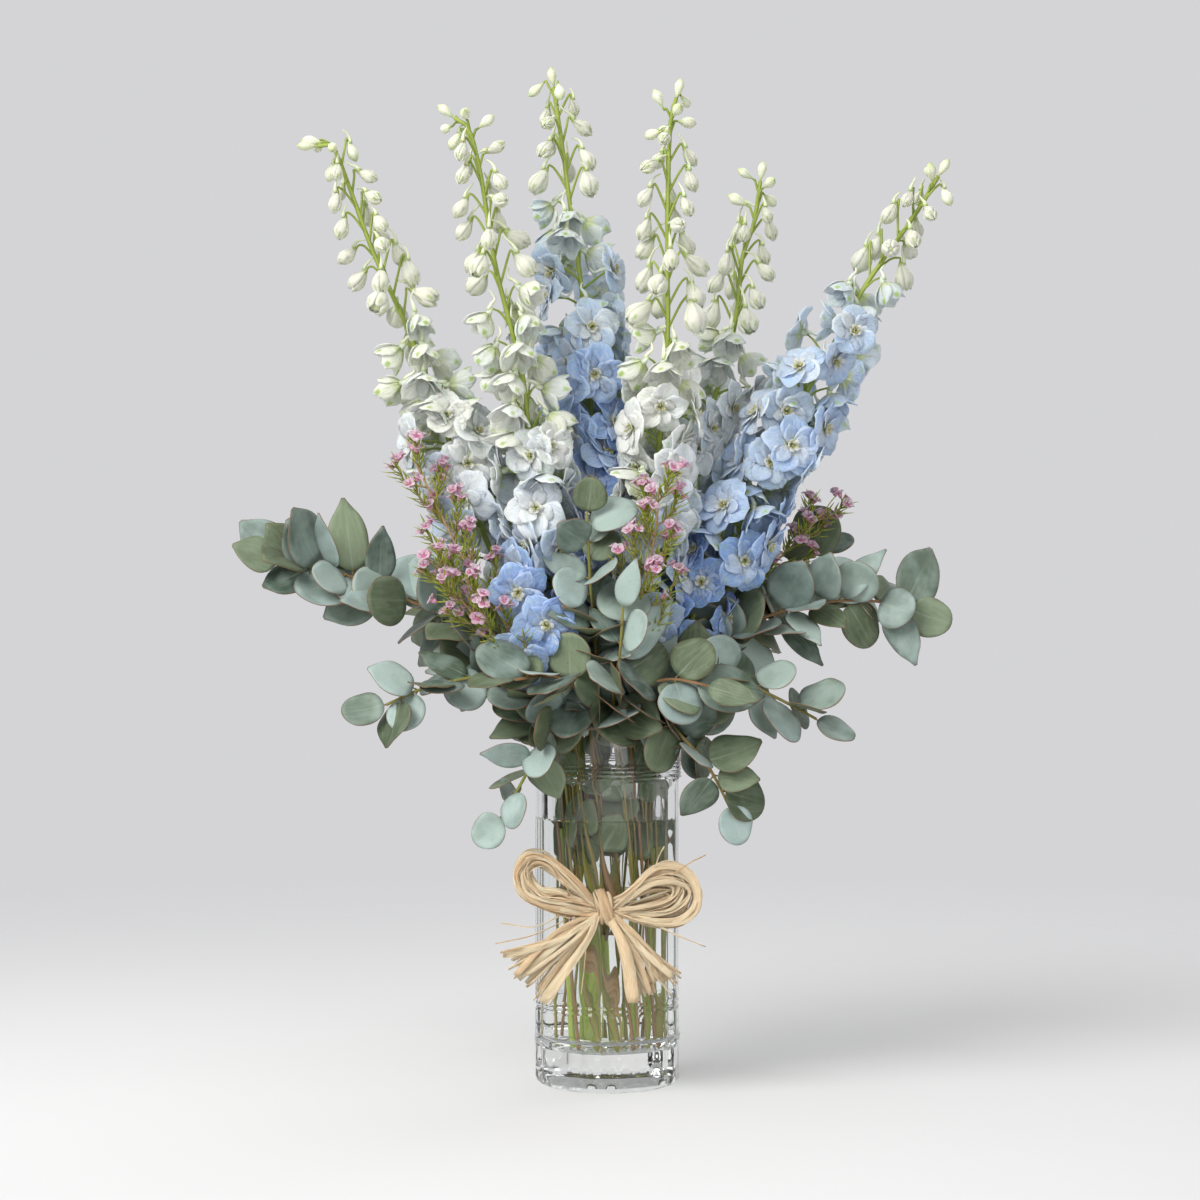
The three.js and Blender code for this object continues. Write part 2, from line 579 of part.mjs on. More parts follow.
/** The cut-glass cylinder: a lathe whose outer rings are drawn into panels and paired flutes. */
function vaseSolid() {
  const { height, radius, bore, floor, segments, panel } = VASE;
  // [radius, height, cut]: where cut is true the ring follows the panels and flutes
  const profile = [
    [0, 0, false], [radius - 6, 0, false], [radius, 6, true], [radius, 26, true],
    [radius + 1.6, 31, false], [radius, 36, true], [radius, 53, true], [radius - 2.2, 58, false],
    [radius, 63, true],
    [radius, 208, true], [radius + 0.3, 214, false], [radius - 1.2, 218, false], [radius, 222, false],
    [radius - 1, height, false], [bore, height, false], [bore, floor, false], [0, floor, false],
  ];
  // in every sixth of the turn: a flat panel between two grooves, then two crests with a groove between;
  // panel is the angle at which the first one faces
  const turns = [-15, 0, 15, 22.5, 30, 37.5];
  const depths = [-1.7, -2.6, -1.7, 0, -1.7, 0];
  const points = profile.map(([r, z]) => new THREE.Vector2(r, z));
  const geometry = new THREE.LatheGeometry(points, segments).rotateX(Math.PI / 2);
  const position = geometry.attributes.position;
  for (let i = 0; i < position.count; i += 1) {
    const step = Math.floor(i / profile.length) % segments;
    const [r, z, cut] = profile[i % profile.length];
    const angle = rad(turns[step % 6] + 60 * Math.floor(step / 6) + panel);
    const reach = r > bore ? r + (cut ? depths[step % 6] : 0) : r;
    position.setXYZ(i, Math.cos(angle) * reach, Math.sin(angle) * reach, z);
  }
  return solid(geometry);
}

/** The water, with a plain hole for each stem. */
function waterSolid(stems) {
  const profile = [[0, VASE.floor + FIT], [VASE.bore - 0.7, VASE.floor + FIT],
    [VASE.bore - 0.7, WATER.level], [0, WATER.level]];
  const geometry = new THREE.LatheGeometry(profile.map(([r, z]) => new THREE.Vector2(r, z)), 24);
  geometry.rotateX(Math.PI / 2);
  const holes = stems.map((stem) => {
    const low = stem.at(0);
    const top = stem.at(stem.kneeAt);
    const below = low.point.clone().addScaledVector(low.ahead, -8);
    return tube([below, top.point], [low.radius + WATER.gap, top.radius + WATER.gap], stem.sides);
  });
  return holes.reduce((water, hole) => water.subtract(hole), solid(geometry));
}

/** A raffia strip laid along points, in so many steps. */
function strip(points, width, steps) {
  const curve = new THREE.CatmullRomCurve3(points.map(vec), false, 'catmullrom', 0.5);
  const line = curve.getPoints(steps);
  const half = line.map((_, k) => (k === 0 || k === steps ? 0.35 : 0.5) * width);
  return tube(line, half, 4, TIE.flat);
}

/** The raffia tie: a band round the vase, a knot, two loops of strips and two fans of tails. */
function bowSolid() {
  const { height, radius, front } = TIE;
  const band = new THREE.LatheGeometry([
    new THREE.Vector2(radius, height - 4), new THREE.Vector2(radius + 2, height - 3),
    new THREE.Vector2(radius + 2, height + 3), new THREE.Vector2(radius, height + 4),
    new THREE.Vector2(radius, height - 4)], 18).rotateX(Math.PI / 2);
  const knot = new THREE.SphereGeometry(1, 6, 5).scale(11, 8, 13).translate(-2, -front, height);
  const start = [-2, -front, height];
  const strips = [];
  for (let k = 0; k < 2; k += 1) {
    const reach = 1 - 0.16 * k;
    const drop = 7 * k;
    const y = -front + 4.8 * k - 3.2;
    strips.push(strip([start, [-28, y - 4, height + 26 - drop], [-50, y, height + 36 - drop],
      [-62 * reach, y + 4, height + 20 - drop / 2], [-52 * reach, y + 5, height + 1],
      [-28, y + 2, height - 7], start], 12, 7));
    strips.push(strip([start, [22, y - 4, height + 23 - drop], [42, y, height + 31 - drop],
      [59 * reach, y + 4, height + 16 - drop / 2], [50 * reach, y + 6, height - 3],
      [25, y + 2, height - 13], start], 13, 7));
  }
  for (let k = 0; k < 3; k += 1) {
    const share = k / 2;
    const y = -front - 2;
    strips.push(strip([start, [mix(-30, -12, share), y - 2, height - 22],
      [mix(-68, -34, share), y + 4 * toss(k, 31), height - mix(38, 62, share)]], 9, 3));
    strips.push(strip([start, [mix(8, 24, share), y - 2, height - 24],
      [mix(14, 47, share), y + 4 * toss(k, 32), height - mix(63, 46, share)]], 9, 3));
  }
  return joined([solid(band), solid(knot), ...strips]);
}

// ---------------------------------------------------------------- assembly

/** Whether the boxes of two solids meet. */
function boxesMeet(a, b) {
  const [p, q] = [a.boundingBox(), b.boundingBox()];
  return [0, 1, 2].every((k) => p.min[k] < q.max[k] && q.min[k] < p.max[k]);
}

/** Whether a solid keeps out of all the others. */
const clears = (shape, others) =>
  others.every((other) => !boxesMeet(shape, other) || shape.intersect(other).volume() < 1e-3);

take('vase', vaseMarks());
const plans = [
  ...SPIKES.map(planSpike),
  ...BRANCHES.map(planBranch),
  ...SPRAYS.map(planSpray),
];
plans.forEach((plan) => plan.grow());
const pieces = plans.flatMap((plan) => plan.pieces);
const vase = vaseSolid();
const bow = bowSolid();

const group = new THREE.Group();
group.add(meshOf('vase', vase, COLOUR.glass));
group.add(meshOf('water', waterSolid(pieces.flatMap(({ stem }) => stem ?? [])), COLOUR.water));
group.add(meshOf('raffia_bow', bow, COLOUR.raffia));

for (const piece of pieces) {
  const others = pieces.filter((other) => other !== piece && other !== piece.mate)
    .map((other) => other.whole ?? other.core);
  if (piece.mate) others.push(piece.mate.growth);
  const kept = piece.parts.filter((part) => clears(part, [vase, bow, ...others]));
  piece.growth = kept.length ? joined(kept) : piece.core;
  piece.whole = oneBody(piece.bore ? piece.core.add(piece.growth).subtract(piece.bore)
    : piece.core.add(piece.growth));
  group.add(meshOf(piece.name, piece.whole, piece.colour));
}

export default group;
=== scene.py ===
"""A delphinium arrangement in a cut-glass vase: six flower spikes, eucalyptus, waxflower and a raffia bow.

Lengths are millimetres until a mesh is filled in, where they become metres. +Z is up and -Y the front.
"""
import logging
import math
from collections.abc import Callable, Iterable, Sequence
from dataclasses import dataclass, field
from enum import Enum
from functools import partial
from typing import ClassVar

import bmesh
import bpy
import numpy as np
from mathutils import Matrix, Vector


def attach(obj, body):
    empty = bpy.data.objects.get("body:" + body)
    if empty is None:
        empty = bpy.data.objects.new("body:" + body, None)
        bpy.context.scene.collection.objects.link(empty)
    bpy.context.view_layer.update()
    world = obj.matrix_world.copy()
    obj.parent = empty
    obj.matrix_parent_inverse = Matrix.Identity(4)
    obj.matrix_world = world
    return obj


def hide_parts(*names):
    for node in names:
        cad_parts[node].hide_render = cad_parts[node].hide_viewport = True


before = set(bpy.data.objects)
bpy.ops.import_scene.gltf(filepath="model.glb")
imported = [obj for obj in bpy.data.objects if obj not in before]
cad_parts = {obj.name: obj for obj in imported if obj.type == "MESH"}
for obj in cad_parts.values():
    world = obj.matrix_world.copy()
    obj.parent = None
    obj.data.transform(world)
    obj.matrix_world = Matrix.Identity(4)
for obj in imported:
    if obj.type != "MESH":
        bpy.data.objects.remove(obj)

logging.basicConfig(level=logging.INFO, format="%(message)s")
LOG = logging.getLogger("arrangement")

MM = 0.001
BODY = "root"
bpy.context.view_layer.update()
Vec = np.ndarray  # a vector, or a row of vectors
Row = np.ndarray  # one number for each point
Pair = tuple[float, float]
Point = tuple[float, float, float]
Colour = tuple[float, float, float, float]
UP = np.array([0.0, 0.0, 1.0])
FRONT = np.array([0.0, -1.0, 0.0])


# ---- driving dimensions, as in the solids

VASE_HEIGHT = 250.0
VASE_RADIUS = 52.0
VASE_BORE = 46.0
VASE_FLOOR = 26.0
WATER_LEVEL = 186.0
KNEE = 205.0
TWIST = 48.0
GATHER = 0.84
CLEARANCE = 1.2
ROOM = 6.0
SWINGS = (0, 16, -16, 32, -32, 48, -48, 64, -64)
GOLDEN_TURN = 137.5

# Where the keys of each kind of part begin. A key sets a part's draws apart.
LOOP_STRIPS, TAIL_STRIPS, BAND_STRANDS, KNOT_STRANDS, STRAY_STRIPS = 900, 1100, 1300, 1400, 1500
PAIRED_LEAVES, STEM_BLOOMS = 5000, 8000
BETWEEN_FLORETS, FRONT_FLORETS, LOW_FLORETS, BETWEEN_BUDS = 20000, 24000, 25000, 30000
BETWEEN_LEAVES, DROWNED_LEAVES, SHOOTS = 40000, 45000, 47000
SIDE_TWIGS, LOW_NEEDLES = 50000, 60000


# ---- small helpers

def vec(*xyz: float) -> Vec:
    """A vector of three numbers."""
    return np.array(xyz, float)


def unit(v: Vec) -> Vec:
    """The vector at length 1."""
    return v / np.linalg.norm(v)


def mix(a: float, b: float, share: float) -> float:
    """The value that lies a share of the way from a to b."""
    return a + (b - a) * share


def square(direction: Vec, axis: Vec) -> Vec:
    """The part of a direction that is square to an axis, at unit length."""
    return unit(direction - axis * float(direction @ axis))


def turned(v: Vec, axis: Vec, degrees: float) -> Vec:
    """A vector turned about an axis.

    Args:
        v: The vector.
        axis: What it turns about, at unit length.
        degrees: How far it turns.

    Returns:
        The turned vector.
    """
    angle = math.radians(degrees)
    return (v * math.cos(angle) + np.cross(axis, v) * math.sin(angle)
            + axis * float(axis @ v) * (1 - math.cos(angle)))


def toss(*keys: int) -> float:
    """A number between -1 and 1 that depends only on the whole numbers given."""
    value = 0x811C9DC5
    for key in keys:
        value = ((value ^ (key + 1)) * 0x01000193) & 0xFFFFFFFF
        value = ((value ^ (value >> 15)) * 0x2C1B3C6D) & 0xFFFFFFFF
        value ^= value >> 12
    return value / 2**31 - 1


def level(angle: float) -> Vec:
    """The level direction at an angle in degrees."""
    return vec(math.cos(math.radians(angle)), math.sin(math.radians(angle)), 0)


def rgb(red: int, green: int, blue: int) -> Colour:
    """A screen colour, 0 to 255, as the linear colour that a shader takes."""
    parts = [c / 255 for c in (red, green, blue)]
    lit = [c / 12.92 if c <= 0.04045 else ((c + 0.055) / 1.055) ** 2.4 for c in parts]
    return (*lit, 1.0)


def curve_through(points: Sequence[Vec], steps: int) -> list[Vec]:
    """Points on a smooth curve through the given ones.

    Args:
        points: What the curve passes, in order.
        steps: The points made for each stretch between two of them.

    Returns:
        The points on the curve, both ends among them.
    """
    made = []
    for k in range(len(points) - 1):
        made += [stretch(points, k, step / steps) for step in range(steps)]
    return [*made, points[-1]]


def stretch(points: Sequence[Vec], k: int, share: float) -> Vec:
    """A point on a smooth curve through the given ones.

    Args:
        points: What the curve passes, in order.
        k: The stretch that the point is on.
        share: How far along that stretch it is.

    Returns:
        The point.
    """
    a, b = points[k], points[k + 1]
    before = points[k - 1] if k > 0 else 2 * a - b
    after = points[k + 2] if k + 2 < len(points) else 2 * b - a
    start, end = 0.5 * (b - before), 0.5 * (after - a)
    t = share
    return (a + start * t + (3 * b - 3 * a - 2 * start - end) * t**2
            + (2 * a - 2 * b + start + end) * t**3)


# ---- node tools

Socket = bpy.types.NodeSocket
Sockets = dict[str, Socket]


class Wiring:
    """Adds nodes to a tree and joins their sockets."""

    def __init__(self, tree: bpy.types.NodeTree) -> None:
        """Works on one tree."""
        self.tree = tree

    def fill(self, node: bpy.types.Node, inputs: dict) -> None:
        """Gives a node's inputs, by name or number, their values, or links them to sockets."""
        for name, value in inputs.items():
            if isinstance(value, Socket):
                self.tree.links.new(value, node.inputs[name])
            else:
                node.inputs[name].default_value = value

    def node(self, kind: str, inputs: dict | None = None, **settings: object) -> bpy.types.Node:
        """A new node.

        Args:
            kind: The node's type without its ShaderNode prefix.
            inputs: Values or sockets by input name or number.
            settings: Properties set on the node.

        Returns:
            The node.
        """
        made = self.tree.nodes.new(kind if kind.startswith("Node") else "ShaderNode" + kind)
        for name, value in settings.items():
            setattr(made, name, value)
        self.fill(made, inputs or {})
        return made

    def math(self, operation: str, *values: object, clamp: bool = False) -> Socket:
        """The result of a Math node."""
        inputs = dict(enumerate(values))
        return self.node("Math", inputs, operation=operation, use_clamp=clamp).outputs[0]

    def times(self, a: object, b: object, clamp: bool = False) -> Socket:
        """The product of two values."""
        return self.math("MULTIPLY", a, b, clamp=clamp)

    def plus(self, a: object, b: object, clamp: bool = False) -> Socket:
        """The sum of two values."""
        return self.math("ADD", a, b, clamp=clamp)

    def near(self, value: object, low: float, high: float) -> Socket:
        """1 where a value is closer to 0 than low, down to 0 where it is past high."""
        return self.spread(self.math("ABSOLUTE", value), low, high, 1.0, 0.0)

    def blend(self, share: object, a: object, b: object, how: str = "MIX") -> Socket:
        """Two colours mixed by a share."""
        return self.node("Mix", {0: share, 6: a, 7: b}, data_type="RGBA", blend_type=how).outputs[2]

    def spread(self, value: object, low: float, high: float, to_low: float = 0.0,
               to_high: float = 1.0) -> Socket:
        """A value taken smoothly from one range to another."""
        inputs = {"Value": value, "From Min": low, "From Max": high, "To Min": to_low, "To Max": to_high}
        return self.node("MapRange", inputs, interpolation_type="SMOOTHSTEP").outputs[0]

    def ramp(self, value: object, stops: Sequence[tuple[float, tuple]]) -> Socket:
        """A colour ramp over a value."""
        made = self.node("ValToRGB", {0: value})
        elements = made.color_ramp.elements
        while len(elements) < len(stops):
            elements.new(0.5)
        for element, (place, colour) in zip(elements, stops):
            element.position = place
            element.color = colour
        return made.outputs[0]

    def noise(self, vector: object, scale: float, detail: float = 2.0, roughness: float = 0.5) -> Socket:
        """A noise between 0 and 1 over a vector."""
        inputs = {"Vector": vector, "Scale": scale, "Detail": detail, "Roughness": roughness}
        return self.node("TexNoise", inputs).outputs[0]

    def attribute(self, name: str) -> tuple[Socket, Socket, Socket, Socket]:
        """A mesh attribute as a vector and its three numbers."""
        read = self.node("Attribute", attribute_name=name)
        parts = self.node("SeparateXYZ", {0: read.outputs["Vector"]}).outputs
        return read.outputs["Vector"], parts[0], parts[1], parts[2]

    def vector(self, x: object, y: object, z: object) -> Socket:
        """Three numbers as a vector."""
        return self.node("CombineXYZ", {0: x, 1: y, 2: z}).outputs[0]

    def group(self, tree: bpy.types.NodeTree, inputs: dict) -> bpy.types.NodeOutputs:
        """The outputs of a node group."""
        return self.node("Group", inputs, node_tree=tree).outputs

    def bump(self, height: object, distance: float, strength: float = 1.0) -> Socket:
        """The normal that a height gives."""
        inputs = {"Height": height, "Distance": distance, "Strength": strength}
        return self.node("Bump", inputs).outputs[0]


def new_group(name: str, takes: dict[str, float], gives: Iterable[str],
              fill: Callable[[Wiring, Sockets], Sockets]) -> bpy.types.NodeTree:
    """A shader node group with named inputs and outputs.

    Args:
        name: The group's name.
        takes: The number inputs with their usual values; "Vector" is a vector.
        gives: The names of the number outputs.
        fill: Makes the nodes from the inputs and returns the outputs.

    Returns:
        The group.
    """
    tree = bpy.data.node_groups.new(name, "ShaderNodeTree")
    for label, usual in takes.items():
        kind = "NodeSocketVector" if label == "Vector" else "NodeSocketFloat"
        socket = tree.interface.new_socket(label, in_out="INPUT", socket_type=kind)
        if kind == "NodeSocketFloat":
            socket.default_value = usual
    for label in gives:
        tree.interface.new_socket(label, in_out="OUTPUT", socket_type="NodeSocketFloat")
    wiring = Wiring(tree)
    source = wiring.node("NodeGroupInput")
    made = fill(wiring, {label: source.outputs[label] for label in takes})
    wiring.node("NodeGroupOutput", made)
    return tree


def fill_veins(w: Wiring, takes: Sockets) -> Sockets:
    """Veins that fan out over a blade, its margin and its fine creases."""
    fan = w.times(takes["Across"], takes["Count"])
    run = w.times(takes["Along"], 1.4)
    seed = w.times(takes["Seed"], 9.0)
    ridge = w.noise(w.vector(fan, run, seed), 1.0, 2.0)
    vein = w.near(w.math("SUBTRACT", ridge, 0.5), 0.0, 0.09)
    side = w.math("ABSOLUTE", takes["Across"])
    reach = w.math("MAXIMUM", side, w.math("SUBTRACT", w.times(takes["Along"], 2.0), 1.0))
    crease = w.noise(w.vector(w.times(fan, 0.8), w.times(run, 3.0), seed), 1.3, 3.0)
    return {"Veins": vein, "Margin": w.spread(reach, 0.82, 1.0), "Creases": crease}


def fill_streaks(w: Wiring, takes: Sockets) -> Sockets:
    """Long streaks that run the length of a stalk or strip."""
    parts = w.node("SeparateXYZ", {0: takes["Vector"]}).outputs
    lane = w.vector(*(w.times(parts[k], takes[by]) for k, by in enumerate(("Count", "Count", "Length"))))
    fine = w.noise(lane, 1.0, 3.0, 0.6)
    broad = w.noise(lane, 0.23, 1.0)
    return {"Streaks": w.spread(fine, 0.3, 0.7), "Patches": w.spread(broad, 0.3, 0.7)}


def fill_mottle(w: Wiring, takes: Sockets) -> Sockets:
    """Soft patches and fine specks in the part's own space."""
    patches = w.noise(takes["Vector"], takes["Patch scale"], 2.0)
    specks = w.noise(takes["Vector"], takes["Speck scale"], 3.0, 0.7)
    return {"Patches": w.spread(patches, 0.32, 0.68), "Specks": specks}


VEINS = new_group("blade_veins", {"Across": 0.0, "Along": 0.0, "Seed": 0.0, "Count": 4.0},
                  ("Veins", "Margin", "Creases"), fill_veins)
STREAKS = new_group("long_streaks", {"Vector": 0.0, "Count": 3.0, "Length": 1.0},
                    ("Streaks", "Patches"), fill_streaks)
MOTTLE = new_group("soft_mottle", {"Vector": 0.0, "Patch scale": 40.0, "Speck scale": 600.0},
                   ("Patches", "Specks"), fill_mottle)


# ---- finishes

class Finish(Enum):
    """The materials by what they cover."""

    GLASS = "clear_cut_glass"
    WET_GLASS = "glass_against_water"
    WATER = "clear_water"
    WET_WALL = "water_against_glass"
    RAFFIA = "dry_raffia"
    STALK = "delphinium_stalk"
    PETAL = "delphinium_petal"
    PETAL_BACK = "delphinium_petal_back"
    BEE = "delphinium_inner_petal"
    BUD = "delphinium_bud"
    BUD_SEPAL = "delphinium_bud_sepal"
    STAMEN = "delphinium_stamens"
    LEAF = "eucalyptus_leaf"
    LEAF_BACK = "eucalyptus_leaf_back"
    LEAF_RIM = "eucalyptus_leaf_margin"
    TWIG = "eucalyptus_twig"
    WAX_TWIG = "waxflower_twig"
    NEEDLE = "waxflower_needle"
    BLOOM = "waxflower_petal"
    BLOOM_CUP = "waxflower_cup"
    FLOOR = "studio_floor"


@dataclass(frozen=True)
class PlainFinish:
    """What all finishes share: one Principled shader, whose inputs each of them gives."""

    def build(self, name: str) -> bpy.types.Material:
        """The material, by its name."""
        material = bpy.data.materials.new(name)
        material.use_nodes = True
        w = Wiring(material.node_tree)
        w.fill(material.node_tree.nodes["Principled BSDF"], self.looks(w))
        return material

    def looks(self, w: Wiring) -> dict[str, object]:
        """The shader's inputs, by name."""
        raise NotImplementedError


@dataclass(frozen=True)
class ClearFinish(PlainFinish):
    """Glass or water, which let lamps through so that what stands in them is lit."""

    colour: Colour
    ior: float
    ripple: float = 0.0

    def looks(self, w: Wiring) -> dict[str, object]:
        """The shader's inputs, by name."""
        ripple = w.noise(w.node("TexCoord").outputs["Object"], 28.0, 1.0)
        return {"Base Color": self.colour, "Roughness": 0.0, "IOR": self.ior, "Transmission Weight": 1.0,
                "Normal": w.bump(ripple, self.ripple)}

    def build(self, name: str) -> bpy.types.Material:
        """The material, which the lamps' light passes as if it were not there."""
        material = super().build(name)
        w = Wiring(material.node_tree)
        nodes = material.node_tree.nodes
        path = w.node("LightPath")
        clear = w.node("BsdfTransparent", {0: self.colour})
        through = w.math("MAXIMUM", path.outputs["Is Shadow Ray"], path.outputs["Is Diffuse Ray"])
        joined = w.node("MixShader", {0: through, 1: nodes["Principled BSDF"].outputs[0],
                                      2: clear.outputs[0]})
        w.fill(nodes["Material Output"], {0: joined.outputs[0]})
        return material


@dataclass(frozen=True)
class PetalFinish(PlainFinish):
    """A thin, veined petal whose blue, green and shade come with each flower."""

    stops: tuple[tuple[float, tuple], ...]
    throat: Colour
    throat_reach: float
    spot: float
    roughness: float = 0.5
    relief: float = 0.0004

    def looks(self, w: Wiring) -> dict[str, object]:
        """The shader's inputs, by name."""
        _, across, along, seed = w.attribute("blade")
        _, blue, green, shade = w.attribute("tint")
        veins = w.group(VEINS, {"Across": across, "Along": along, "Seed": seed, "Count": 5.0})
        pale_edge = w.times(veins["Margin"], -0.1)
        toned = w.plus(blue, w.plus(pale_edge, w.times(shade, 0.06)), clamp=True)
        colour = w.ramp(toned, self.stops)
        lines = w.times(veins["Veins"], 0.22)
        colour = w.blend(lines, colour, w.blend(1.0, colour, rgb(214, 220, 234), "MULTIPLY"))
        creased = w.times(w.spread(veins["Creases"], 0.35, 0.65, 0.0, 0.16),
                          w.spread(along, 0.15, 0.85, 3.4, 0.8))
        colour = w.blend(creased, colour, rgb(242, 243, 246))
        throat = w.spread(along, self.throat_reach * 0.4, self.throat_reach, 1.0, 0.0)
        colour = w.blend(throat, colour, self.throat)
        middle = w.near(across, 0.05, 0.42)
        tip = w.near(w.math("SUBTRACT", along, 0.84), 0.03, 0.14)
        rib = w.times(w.near(across, 0.0, 0.2), w.spread(along, 0.1, 0.9, 0.5, 0.0))
        spotted = w.math("MAXIMUM", w.times(middle, tip), rib)
        spotted = w.times(w.times(spotted, self.spot), w.plus(green, 0.35))
        colour = w.blend(spotted, colour, rgb(158, 188, 92))
        colour = w.blend(w.times(green, 0.5), colour, rgb(238, 243, 208), "MULTIPLY")
        relief = w.plus(veins["Veins"], w.times(veins["Creases"], 3.0))
        return {"Base Color": colour, "Roughness": self.roughness, "Specular IOR Level": 0.3,
                "Subsurface Weight": 0.5, "Subsurface Scale": 0.003, "Subsurface Radius": (1.0, 1.0, 1.2),
                "Sheen Weight": 0.08, "Normal": w.bump(relief, self.relief, 0.6)}


@dataclass(frozen=True)
class LeafFinish(PlainFinish):
    """One side of a eucalyptus blade: a waxy bloom in patches, a pale midrib and a brown margin."""

    dark: Colour
    pale: Colour
    rib: Colour
    margin: Colour
    roughness: float = 0.55

    def looks(self, w: Wiring) -> dict[str, object]:
        """The shader's inputs, by name."""
        _, across, along, seed = w.attribute("blade")
        _, tone, young, shade = w.attribute("tint")
        veins = w.group(VEINS, {"Across": across, "Along": along, "Seed": seed, "Count": 3.0})
        place = w.node("TexCoord").outputs["Object"]
        mottle = w.group(MOTTLE, {"Vector": place, "Patch scale": 60.0, "Speck scale": 900.0})
        tone = w.plus(tone, w.times(mottle["Patches"], 0.4), clamp=True)
        colour = w.blend(tone, self.dark, self.pale)
        # The third tint darkens towards olive: a real olive on some leaves, painted shade on the leaves
        # under the water.
        colour = w.blend(shade, colour, w.blend(tone, rgb(72, 84, 56), rgb(106, 120, 84)))
        colour = w.blend(w.times(young, 0.5), colour, rgb(140, 150, 104))
        specks = w.spread(mottle["Specks"], 0.45, 0.75, 0.0, 0.16)
        colour = w.blend(specks, colour, self.dark)
        colour = w.blend(w.times(veins["Veins"], 0.1), colour, self.rib)
        line = w.times(w.near(across, 0.015, 0.07), w.spread(along, 0.05, 0.95, 0.26, 0.02))
        colour = w.blend(line, colour, self.rib)
        edge = w.times(w.math("POWER", veins["Margin"], 8.0), 0.6)
        colour = w.blend(edge, colour, self.margin)
        creases = w.times(veins["Creases"], 0.8)
        relief = w.plus(w.times(line, -1.0), creases)
        return {"Base Color": colour, "Roughness": self.roughness, "Specular IOR Level": 0.35,
                "Sheen Weight": 0.12, "Sheen Roughness": 0.4, "Normal": w.bump(relief, 0.0005, 0.6)}


@dataclass(frozen=True)
class StreakedFinish(PlainFinish):
    """A stalk, twig or dry strip with streaks that run its length."""

    dark: Colour
    pale: Colour
    patch: Colour
    count: float = 3.0
    length: float = 0.08
    roughness: float = 0.55
    relief: float = 0.0003
    sheen: float = 0.0

    def looks(self, w: Wiring) -> dict[str, object]:
        """The shader's inputs, by name."""
        lane, _, _, _ = w.attribute("blade")
        _, tone, green, _ = w.attribute("tint")
        streaks = w.group(STREAKS, {"Vector": lane, "Count": self.count, "Length": self.length})
        toned = w.plus(w.times(streaks["Streaks"], 0.55), tone, clamp=True)
        colour = w.blend(toned, self.dark, self.pale)
        patches = w.times(streaks["Patches"], green, clamp=True)
        colour = w.blend(patches, colour, self.patch)
        rough = w.spread(streaks["Streaks"], 0.0, 1.0, self.roughness - 0.08, self.roughness + 0.08)
        return {"Base Color": colour, "Roughness": rough, "Specular IOR Level": 0.35,
                "Sheen Weight": self.sheen, "Normal": w.bump(streaks["Streaks"], self.relief, 0.8)}


@dataclass(frozen=True)
class BudFinish(PlainFinish):
    """A closed bud: cream with green ribs, green at its neck and tip."""

    cream: Colour
    blue: Colour
    rib: Colour

    def looks(self, w: Wiring) -> dict[str, object]:
        """The shader's inputs, by name."""
        lane, east, north, along = w.attribute("blade")
        _, blue, green, _ = w.attribute("tint")
        turn = w.math("ARCTAN2", north, east)
        ribs = w.plus(w.times(w.math("COSINE", w.times(turn, 5.0)), 0.5), 0.5)
        ends = w.math("MAXIMUM", w.spread(along, 0.1, 0.34, 1.0, 0.0), w.spread(along, 0.7, 0.98))
        grain = w.noise(lane, 5.0, 3.0)
        greened = w.times(w.math("POWER", ribs, 4.0), 0.25)
        greened = w.plus(greened, w.times(ends, 0.5))
        greened = w.times(greened, w.plus(w.times(grain, 0.7), 0.5))
        greened = w.plus(greened, w.times(green, 0.35), clamp=True)
        colour = w.blend(greened, w.blend(blue, self.cream, self.blue), self.rib)
        return {"Base Color": colour, "Roughness": 0.5, "Specular IOR Level": 0.35,
                "Subsurface Weight": 0.2, "Subsurface Scale": 0.002, "Sheen Weight": 0.1,
                "Normal": w.bump(grain, 0.0002, 0.5)}


@dataclass(frozen=True)
class CupFinish(PlainFinish):
    """The dark cup of a waxflower with its pale ring."""

    rim: Colour
    heart: Colour

    def looks(self, w: Wiring) -> dict[str, object]:
        """The shader's inputs, by name."""
        lane, _, _, along = w.attribute("blade")
        speck = w.spread(w.noise(lane, 9.0, 1.0), 0.42, 0.6)
        inside = w.spread(along, 0.35, 0.75)
        colour = w.blend(inside, self.rim, self.heart)
        colour = w.blend(w.times(speck, 0.35), colour, self.rim)
        return {"Base Color": colour, "Roughness": 0.4, "Coat Weight": 0.2,
                "Normal": w.bump(speck, 0.0003, 0.6)}


@dataclass(frozen=True)
class FloorFinish(PlainFinish):
    """The studio floor: pale and matt, with a little grain, and clear towards its edge."""

    colour: Colour
    fade_from: float
    fade_to: float

    def looks(self, w: Wiring) -> dict[str, object]:
        """The shader's inputs, by name."""
        place = w.node("TexCoord").outputs["Object"]
        tone = w.spread(w.noise(place, 3.0), 0.2, 0.8, 0.0, 0.02)
        away = w.node("VectorMath", {0: place}, operation="LENGTH").outputs["Value"]
        return {"Base Color": w.blend(tone, self.colour, rgb(190, 190, 192)), "Roughness": 0.85,
                "Specular IOR Level": 0.1, "Alpha": w.spread(away, self.fade_from, self.fade_to, 1.0, 0.0)}
